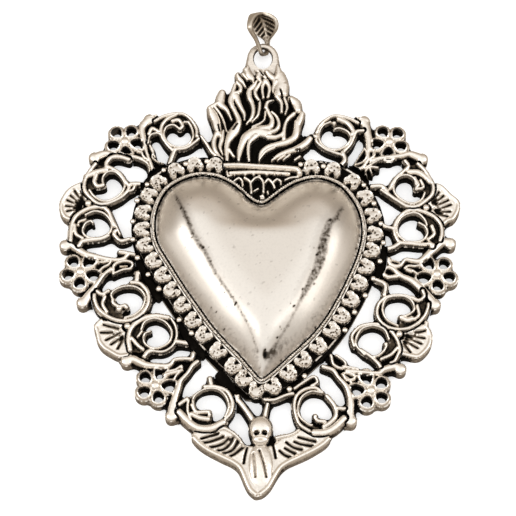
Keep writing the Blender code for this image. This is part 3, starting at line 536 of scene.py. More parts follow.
cast_silver = silver_material("antique_cast_silver", (0.88, 0.82, 0.74), 0.27, 0.5, 0.45)
bezel = Relief()
bezel.ridge(rows(HEART_LINE, BEZEL_HALF - 0.03), BEZEL_TOP - 0.12, BEZEL_TOP - 0.6, 0.02,
            closed=True)
bezel.pour("bezel_strip", "bezel_rim", DOME_BACK)
taken = bezel.cover.copy()


def bead_tree():
    """Geometry nodes: a small ball on each given point, some of them a little smaller."""
    tree = bpy.data.node_groups.new("beads_on_points", "GeometryNodeTree")
    inputs = {}
    for name, kind in (("Geometry", "Geometry"), ("Radius", "Float"), ("Unevenness", "Float"),
                       ("Rings", "Int"), ("Material", "Material")):
        inputs[name] = tree.interface.new_socket(
            name=name, in_out="INPUT", socket_type="NodeSocket" + kind).identifier
    tree.interface.new_socket(name="Geometry", in_out="OUTPUT",
                              socket_type="NodeSocketGeometry")
    given, result = add_node(tree, "NodeGroupInput"), add_node(tree, "NodeGroupOutput")
    ball = add_node(tree, "GeometryNodeMeshIcoSphere", {
        "Radius": given.outputs["Radius"], "Subdivisions": given.outputs["Rings"]})
    places = add_node(tree, "GeometryNodeMeshToPoints", {"Mesh": given.outputs["Geometry"]})
    spread = add_node(tree, "FunctionNodeRandomValue", {"Seed": 7}, data_type="FLOAT")
    smallest, largest = [s for s in spread.inputs if s.type == "VALUE"][:2]
    tree.links.new(worked_out(tree, "SUBTRACT", 1.0, given.outputs["Unevenness"]), smallest)
    largest.default_value = 1.0
    scatter = add_node(tree, "GeometryNodeInstanceOnPoints", {
        "Points": places.outputs["Points"], "Instance": ball.outputs["Mesh"],
        "Scale": next(s for s in spread.outputs if s.type == "VALUE")})
    real = add_node(tree, "GeometryNodeRealizeInstances", {"Geometry": scatter.outputs[0]})
    coat = add_node(tree, "GeometryNodeSetMaterial", {
        "Geometry": real.outputs["Geometry"], "Material": given.outputs["Material"]})
    feed(tree, result, {"Geometry": coat.outputs["Geometry"]})
    return tree, inputs


beads, bead_inputs = bead_tree()


def bead_row(name, places, radius, unevenness, rings):
    """A plain mesh of balls at the places, in mm."""
    seeds = bpy.data.meshes.new(name + "_places")
    seeds.from_pydata([tuple(v * MM for v in p) for p in places], [], [])
    holder = placed(name + "_places", seeds)
    grow = holder.modifiers.new("beads", "NODES")
    grow.node_group = beads
    grow[bead_inputs["Radius"]] = radius * MM
    grow[bead_inputs["Unevenness"]] = unevenness
    grow[bead_inputs["Rings"]] = rings
    grow[bead_inputs["Material"]] = cast_silver
    bpy.context.view_layer.update()
    seen = holder.evaluated_get(bpy.context.evaluated_depsgraph_get())
    mesh = bpy.data.meshes.new_from_object(seen)
    holder.modifiers.remove(grow)
    bpy.data.objects.remove(holder)
    mesh.shade_smooth()
    dress(name, mesh, cast_silver)


def evenly(line, pitch):
    """Places about a pitch apart along a closed line."""
    line = np.vstack([line, line[:1]])
    along = np.concatenate([[0], np.cumsum(np.hypot(*np.diff(line, axis=0).T))])
    count = max(2, round(along[-1] / pitch))
    at = np.arange(count) * along[-1] / count
    return np.column_stack([np.interp(at, along, line[:, 0]), np.interp(at, along, line[:, 1])])


heart_track = flowing(rows(HEART_LINE), True)[:, :2]
bead_row("bezel_grains", [(x, y, BEZEL_TOP - 0.12) for x, y in evenly(heart_track, GRAIN_PITCH)],
         GRAIN_R, 0.45, 2)

# Border of small hearts
# A cast strip round the bezel with thirty-four small hearts, each with its two lobes turned to
# the dome, pearls between them along the outer edge, and black feet that reach to the rings.
BORDER_FLOOR, BORDER_OUT, HEART_TOP, HEART_REACH = 1.4, 2.85, 2.35, 1.72
HEARTS = [
    -6.85, 15.8, -9.85, 15.75, -12.75, 14.9, -15.5, 13, -17.4, 11, -18.2, 8, -18.4, 5, -17.9, 2.2,
    -16.7, -0.6, -15.1, -3, -13.5, -5.4, -11.7, -7.8, -10, -10.3, -8.5, -12.8, -6.5, -15.5,
    -4.3, -18.1, -2.7, -20.1, -0.5, -22.3, 2.45, -21.1, 4.8, -19, 7.2, -17, 9.6, -14.8,
    11.8, -12.3, 13.2, -9.8, 14.5, -7, 15.9, -4.2, 17.1, -1.5, 17.9, 1.3, 18.2, 4.2, 17.7, 7.4,
    16.7, 10.5, 14.5, 12.9, 11.8, 15.2, 8.4, 15.6]
PEARLS = [
    -8.05, 16.85, -11.4, 16.4, -14.85, 15.3, -17.4, 12.8, -18.9, 10, -19.5, 6.4, -19.4, 3.3,
    -18.6, 0.2, -16.9, -2.6, -15.2, -5, -12, -10.1, -10.1, -12.3, 4.7, -21.3, 7, -19.2,
    13.2, -11.8, 14.7, -8.85, 16.4, -6.1, 17.7, -3.3, 18.8, -0.4, 19.4, 2.75, 19.1, 6, 18.1, 9.5,
    16.6, 12.7, 10.3, 16, 6.7, 16.3]
PEARL_R, PEARL_Z, PITS_EACH, PIT_DEPTH = 0.46, 1.95, 9, 0.15
chance = np.random.default_rng(34)
border = Relief()
tarnish = np.zeros((UP, ACROSS))
strip = np.minimum(-inward - BEZEL_HALF - 0.03, BORDER_OUT + inward)
behind_cup = (xs_all > -5.6) & (xs_all < 7.1) & (ys_all > 6)
border.lay((slice(None), slice(None)), np.where(behind_cup, OFF_PIECE, strip), BORDER_FLOOR
           + 0.3 * soften(-inward, 2.62, 2.77) + 0.4 * soften(inward, -0.6, -0.4))
BORDER_FEET = [
    [-18.4, 0.9, -19, 0.2, -18.7, -1, -17.8, -2.8, -16.9, -4.4, -16.3, -5.8, -15.2, -6.6,
     -14.9, -5.5, -17, -2],
    [19, 2.7, 19.8, 2.4, 19.9, 0.5, 19.6, -1.5, 18.8, -3, 18, -3.2, 18.2, -1, 18.7, 1],
    [-12.2, -10, -12, -11.6, -11.2, -13.1, -10.2, -14.4, -9.2, -15.6, -8.2, -16, -8, -14.6,
     -9.4, -12.6, -11, -10],
    [-6.5, -18.9, -6.1, -19.8, -5.3, -20.6, -4.4, -21.2, -3.4, -21.4, -3.4, -20.4, -4.6, -18.8,
     -5.6, -18],
    [12.6, -10.6, 12.7, -11.8, 12.1, -13.2, 11.3, -14.6, 10.3, -15.9, 9.2, -16.8, 8.4, -16.4,
     9.4, -14, 11, -10.6],
    [-17.6, 11.6, -18.4, 12.6, -17.6, 14.2, -16.4, 15.4, -15.2, 16.2, -14.2, 15.6, -15.6, 13.8],
    [16.6, 11.8, 17.6, 12.6, 17, 14, 15.8, 15.4, 14.6, 16, 13.6, 15.2, 15, 13.6]]
for flat in BORDER_FEET:
    border.plate(flat, BORDER_FLOOR - 0.05, 0.2, 0.1)
for spot in np.reshape(HEARTS, (-1, 2)):
    nearest = heart_track[np.argmin(np.hypot(*(heart_track - spot).T))]
    out = (spot - nearest) / np.hypot(*(spot - nearest))
    x, y = nearest + HEART_REACH * out
    view, xs, ys = window(rows([x, y]), 1.9)
    u, v = (xs - x) * out[1] - (ys - y) * out[0], (xs - x) * out[0] + (ys - y) * out[1]
    wide_u = np.abs(u)
    shape = np.maximum(1.24 - np.hypot(u, v - 0.14), 0.79 - np.hypot(wide_u - 0.62, v + 0.5))
    shape = np.minimum(shape, np.where(v < -0.5, 0.9 * (wide_u + 0.62 * (v + 0.5)), 9))
    height = BORDER_FLOOR + (HEART_TOP - BORDER_FLOOR) * np.clip(shape / 0.14, 0, 1) ** 0.5
    height -= 0.2 * soften(shape, 0.24, 0.38) - 0.06 * soften(shape, 0.5, 0.95)
    pits = np.zeros_like(shape)
    for _ in range(PITS_EACH):
        across, along = chance.uniform(-0.75, 0.75), chance.uniform(-0.75, 0.8)
        size = chance.uniform(0.1, 0.16)
        pits = np.maximum(pits, np.exp(-((u - across) ** 2 + (v - along) ** 2) / size ** 2))
    height -= PIT_DEPTH * pits
    tarnish[view] = np.maximum(tarnish[view], (0.17 + 0.5 * pits) * soften(shape, 0.24, 0.36))
    border.lay(view, shape, height)
    border.top[view][shape > 0.02] = height[shape > 0.02]
border.trim()
border.pour("border_with_hearts", "border_of_hearts")
bead_row("border_pearls", [(x, y, PEARL_Z) for x, y in np.reshape(PEARLS, (-1, 2))], PEARL_R,
         0.12, 3)

# Brazier cup
# The cast bowl that the flames rise from: a plain lip, a row of beads under it, and a small
# arcade that narrows to the cleft of the heart.
CUP_FLOOR, CUP_LINE_FULLER, BEAD_FULLER, BEAD_TOP = 1.25, 1.6, 1.2, 2.4
cup = Relief()
CUP_OUTLINE = [
    -6.1, 16.3, 6.3, 15.6, 6.7, 14.3, 5.2, 13.4, 3, 11.8, 0.4, 10, -1.8, 11.8, -3.6, 13.4,
    -5.6, 14.4]
cup.plate(CUP_OUTLINE, CUP_FLOOR, smooth=False)
CUP_LINES = [
    (0.3, 0.36, 2.75, [-5.75, 16, -3, 16.05, 0, 15.85, 3, 15.65, 6.1, 15.35, 6.5, 14.6]),
    (0.16, 0.16, 2.4, [-4.9, 15, -4.7, 14.2, -4.2, 14.3]),
    (0.26, 0.26, 2.2, [-4.3, 14.85, 0, 15, 4.8, 14.7]),
    (0.16, 0.16, 2.3, [-3.7, 13.4, -3, 13.9, -2.5, 13.4, -2.4, 12.6]),
    (0.17, 0.17, 2.4, [-2.1, 13.9, -1.3, 13.3, -1.1, 12.3, -1.05, 11.2]),
    (0.17, 0.17, 2.4, [-1, 13.2, -0.6, 13.7, 0, 14, 0.6, 13.6, 0.85, 12.8, 0.85, 11.4]),
    (0.14, 0.14, 2.3, [-0.6, 11.6, 0, 12]),
    (0.17, 0.17, 2.3, [1.2, 13.2, 1.6, 13.7, 2.3, 13, 2.6, 12.2]),
    (0.15, 0.15, 2.3, [2.4, 13.2, 3, 13.7, 3.6, 13.3, 3.6, 12.8]),
    (0.16, 0.16, 2.2, [0.4, 10.7, 0.75, 10.9, 0.9, 10.4, 0.5, 10.3]),
    (0.16, 0.16, 2.2, [6.3, 14.1, 5.2, 14, 4.3, 13.6]),
    (0.14, 0.14, 2.2, [1.5, 11.6, 1.6, 11.2])]
for first, last, crest, flat in CUP_LINES:
    cup.ridge(rows(flat, CUP_LINE_FULLER * first, CUP_LINE_FULLER * last), crest, flat=0.4)
CUP_BEADS = [
    (-3.7, 14.4, 0.2), (-2, 14.5, 0.28), (-0.7, 14.5, 0.26), (0.2, 14.2, 0.3), (1.4, 14.5, 0.28),
    (2.6, 14.6, 0.3), (3.6, 14.7, 0.3), (4.6, 14.7, 0.25)]
for x, y, r in CUP_BEADS:
    cup.bump(x, y, BEAD_FULLER * r, BEAD_FULLER * r, BEAD_TOP)
cup.trim()
cup.pour("brazier", "brazier_cup")

# Crown of flames
# One casting: tongues of flame that weave over a dark ground, with the eyelet's wire grown out
# of the two upper tongues.
FLAME_GROUND = [
    -6.4, 16.6, -7.1, 18, -7.3, 19.5, -7, 21.2, -6.9, 23, -7.4, 25.6, -6.8, 26.6, -6.3, 28,
    -5.9, 28.9, -5.2, 28.6, -4.5, 28.2, -3.6, 29.8, -3.4, 31.4, -3, 32.3, -2.2, 32.7, -1, 33.6,
    0.8, 33.3, 2.6, 33.6, 3.4, 33.2, 3.9, 32.3, 4, 30.5, 4.4, 28.6, 5.9, 27.9, 6.4, 26.6, 7, 25.2,
    6.7, 23.4, 6.6, 21.8, 8, 21, 7.4, 20, 6.9, 18.5, 6.6, 16.2]
FLAMES = [
    ((0.35, 0.6, 0.6, 0.55, 0.35), [-7.7, 26.4, -7.2, 25.3, -6.75, 24.2, -6.5, 23, -6.1, 21.5]),
    ((0.2, 0.16, 0.14, 0.1), [-7, 26.7, -6, 25.2, -5.4, 23.8, -5, 22.2]),
    ((0.45, 0.6, 0.5, 0.3, 0.12), [-5.75, 29.2, -6, 28.1, -5.9, 27, -5, 26, -4.25, 24.2]),
    ((0.3, 0.35), [-6.3, 27.3, -7.4, 26.6]),
    ((0.2, 0.35, 0.4, 0.6, 0.65, 0.4, 0.3, 0.35, 0.4, 0.35), [-4.85, 16.9, -4.95, 18.6, -4.8, 20.2,
     -4.3, 21.5, -3.6, 22.6, -3.05, 24, -3.6, 25.6, -4.2, 26.9, -4.3, 28, -3.95, 29.2]),
    ((0.25, 0.15), [-4.6, 18.9, -3.8, 17.6]),
    ((0.5, 0.4, 0.3, 0.25, 0.1), [-3.5, 28.6, -3.2, 27.6, -2.7, 26.4, -2.2, 25.3, -2.15, 24.2]),
    ((0.3, 0.3, 0.25, 0.2), [-3.9, 29, -2.95, 29.3, -2.8, 30.2, -3.4, 31]),
    ((0.3, 0.2), [-4, 29.3, -3.7, 30.6]),
    ((0.4, 0.4, 0.25, 0.1), [-3.2, 32.4, -2.9, 31.6, -2.4, 30.9, -2, 30.1]),
    ((0.25, 0.2), [-2.4, 32.5, -1.7, 31.5]),
    ((0.15, 0.35, 0.4, 0.35, 0.3, 0.3, 0.12), [-0.2, 31.2, -0.6, 30.5, -1.35, 29.6, -1.4, 28.4,
     -0.95, 27.2, -0.75, 26, -1, 24.6, -1.8, 23.4]),
    ((0.15, 0.25, 0.25, 0.25, 0.2, 0.2, 0.12), [0.5, 31.1, 0.1, 30.4, -0.45, 29.3, -0.25, 28.4,
     0.25, 27.4, 0.2, 26, -0.1, 24.8, -0.9, 23.8]),
    ((0.2, 0.4, 0.45, 0.6, 0.7, 0.75, 0.7), [-3.05, 17, -2.9, 18.6, -2.5, 20, -1.9, 21.2, -0.8, 22,
     0.4, 22.2, 1.4, 21.9]),
    ((0.2, 0.25, 0.3, 0.5), [-1.42, 17, -1.5, 18.8, -1.3, 20.2, -0.4, 21.4]),
    ((0.5, 0.45, 0.3, 0.25, 0.25), [0.4, 22.6, 1.9, 23, 2.25, 24.2, 1.85, 25.2, 1.35, 26.4]),
    ((0.3, 0.25, 0.1), [1.3, 26.4, 1.5, 27.3, 2.45, 27.65]),
    ((0.12, 0.12, 0.15), [-0.9, 22.9, 0.3, 23.5, 1, 24.2, 1.15, 25.6]),
    ((0.3, 0.3, 0.25, 0.2, 0.15), [1.9, 21.95, 2.9, 22.4, 3.35, 23.5, 3, 24.7, 2.2, 25.6]),
    ((0.4, 0.3, 0.25, 0.2), [1.6, 21.2, 2.8, 21.1, 3.8, 21.6, 4.2, 22.4]),
    ((0.15, 0.3, 0.35, 0.4, 0.45, 0.5, 0.5, 0.4), [0.2, 16.9, 0.5, 18.3, 1.5, 19.3, 3, 19.8,
     4.6, 20.3, 5.8, 21.2, 6.2, 22.6, 6.2, 23.8]),
    ((0.12, 0.25, 0.25), [0.4, 17.3, 1.2, 18.5, 2.6, 19.3]),
    ((0.3, 0.25, 0.25, 0.3), [4.1, 20.8, 4.2, 22.6, 4.6, 24.1, 5.7, 25.3]),
    ((0.5, 0.45, 0.3), [6.3, 23.4, 6.8, 24.6, 7.1, 25.4]),
    ((0.15, 0.3, 0.35, 0.45, 0.5, 0.4), [2.2, 16.9, 3.2, 17.8, 4.6, 18.5, 6.2, 19.1, 7.5, 20,
     8.2, 20.9]),
    ((0.12, 0.22), [3.1, 16.9, 4.2, 17.9]),
    ((0.12, 0.2), [4, 17, 5, 17.9]),
    ((0.15, 0.2), [5.8, 17, 6.6, 17.6]),
    ((0.7, 0.8, 0.75, 0.4, 0.25, 0.2), [3.5, 32.4, 3.8, 31, 3.5, 29.6, 3.1, 28.5, 3.7, 27.3,
     3.75, 25.6]),
    ((0.6, 0.5), [4.2, 30.5, 4.2, 29]),
    ((0.2, 0.18, 0.12), [4.2, 28.2, 4.65, 26.6, 4.35, 25.2]),
    ((0.5, 0.6, 0.45), [5.3, 28, 6.1, 27.3, 6.4, 26]),
    ((0.35, 0.22, 0.18), [1.1, 31.3, 0.7, 30, 0.85, 28.2]),
    ((0.35, 0.25, 0.2), [1.3, 31.3, 1.85, 30, 1.6, 28.3]),
    ((0.4, 0.45, 0.3, 0.12), [-1.9, 33.4, -1.5, 32.5, -0.9, 31.8, -0.8, 31]),
    ((0.3, 0.4, 0.2), [0.3, 33, 0.1, 32, 0.4, 31.2]),
    ((0.3, 0.4, 0.4, 0.15), [1.4, 33, 1.9, 32.3, 2.6, 31.6, 2.5, 30.6]),
    ((0.12, 0.25, 0.3), [2.4, 29.2, 2.5, 30.2, 2.9, 31.2]),
    ((0.25, 0.4, 0.3, 0.1), [-1.1, 31.6, -1.6, 32.4, -1.75, 33.2, -1.6, 34]),
    ((0.3, 0.45, 0.35, 0.1), [2.9, 31.8, 3.3, 32.6, 3.3, 33.4, 3.1, 34.2]),
    ((0.2, 0.25, 0.1), [1.2, 31.8, 0.6, 32.6, -0.4, 33.2]),
    ((0.3, 0.25, 0.2), [-5.8, 17.3, -7.2, 18.3, -8.2, 20, -9, 21.2]),
    ((0.12, 0.3, 0.35, 0.3), [-6, 17.6, -6.8, 18.9, -7, 20.4, -6.6, 21.8]),
    ((0.1, 0.25, 0.3, 0.15), [-5.6, 18, -6, 19.4, -5.7, 20.8, -5.5, 22.2])]
SLITS = [
    (0.14, [-6.3, 23.2, -6.1, 22.1]),
    (0.16, [-3.3, 23.4, -3.9, 22.4]),
    (0.14, [-3, 32.3, -2.3, 31.5, -1.9, 30.6]),
    (0.16, [3.6, 29.6, 3.95, 28.3]),
    (0.14, [5.05, 27.8, 5.4, 26.5]),
    (0.14, [0.35, 32.9, 0.9, 32.2]),
    (0.14, [6, 18.75, 6.6, 18.9]),
    (0.12, [-0.9, 29.5, -0.6, 28.2, 0.1, 27.4])]
FLAME_TOP, FLAME_FOOT, CROWN_FLOOR, CREST_ROUND = 2.45, 1.5, 1.3, 0.42
FLAME_FULLER, FLAME_SPREAD, SLIT_DEPTH, WIRE_HALF, NECK_Y = 1.25, 0.05, 1.0, 0.5, 34.2
EYELET_X, EYELET_Y, EYELET_RX, EYELET_RY, EYELET_Z, EYELET_TOP = 0.8, 35.6, 2.05, 2.35, 1.5, 1.86
EYELET_HOLE_RX, EYELET_HOLE_RY = 1.55, 1.93


def oval(rx, ry, count):
    """x, y values round the eyelet's middle."""
    return [v for k in range(count) for v in (EYELET_X + rx * math.cos(k * math.tau / count),
                                              EYELET_Y + ry * math.sin(k * math.tau / count))]


def crown_back(x, y):
    """Flat, but raised and rounded under the eyelet's wire, where the bail passes."""
    off_wire = np.hypot((x - EYELET_X) / EYELET_RX, (y - EYELET_Y) / EYELET_RY) - 1
    round_wire = 1.0 + 0.5 * np.clip(np.abs(off_wire) / 0.25, 0, 1) ** 2
    return round_wire * soften(y, 33.9, 34.9)


crown = Relief()
crown.plate(FLAME_GROUND, CROWN_FLOOR, 0.2, 0.1)
for widths, flat in FLAMES:
    crown.ridge(stroke(np.array(widths) * FLAME_FULLER + FLAME_SPREAD, flat), FLAME_TOP,
                FLAME_FOOT, 0.06, flat=CREST_ROUND)
for half_width, flat in SLITS:
    crown.groove(rows(flat, half_width), SLIT_DEPTH)
crown.ridge(rows(oval(EYELET_RX, EYELET_RY, 28), WIRE_HALF), EYELET_TOP, CROWN_FLOOR, 0.0,
            closed=True, flat=0.4)
EYELET_NECK = [
    -2.2, 33, -1.95, 34, -1.85, 35.3, -1.3, 36.8, -0.4, 37.8, 0.8, 38.2, 1.9, 37.8, 2.8, 36.8,
    3.35, 35.4, 3.5, 34, 3.9, 32.6, 3.2, 31.6, 2.3, 32.3, 1.5, 31.4, 0.6, 32.3, -0.6, 32.1,
    -1.6, 31.4, -2.7, 32]
crown.plate(EYELET_NECK, EYELET_TOP, 0.45, 0.4)
crown.pierce(oval(EYELET_HOLE_RX, EYELET_HOLE_RY, 20))
crown.trim()
crown.top = np.where(ys_all > NECK_Y, np.maximum(crown.top, EYELET_Z), crown.top)
crown.pour("flames", "flame_crown", crown_back)


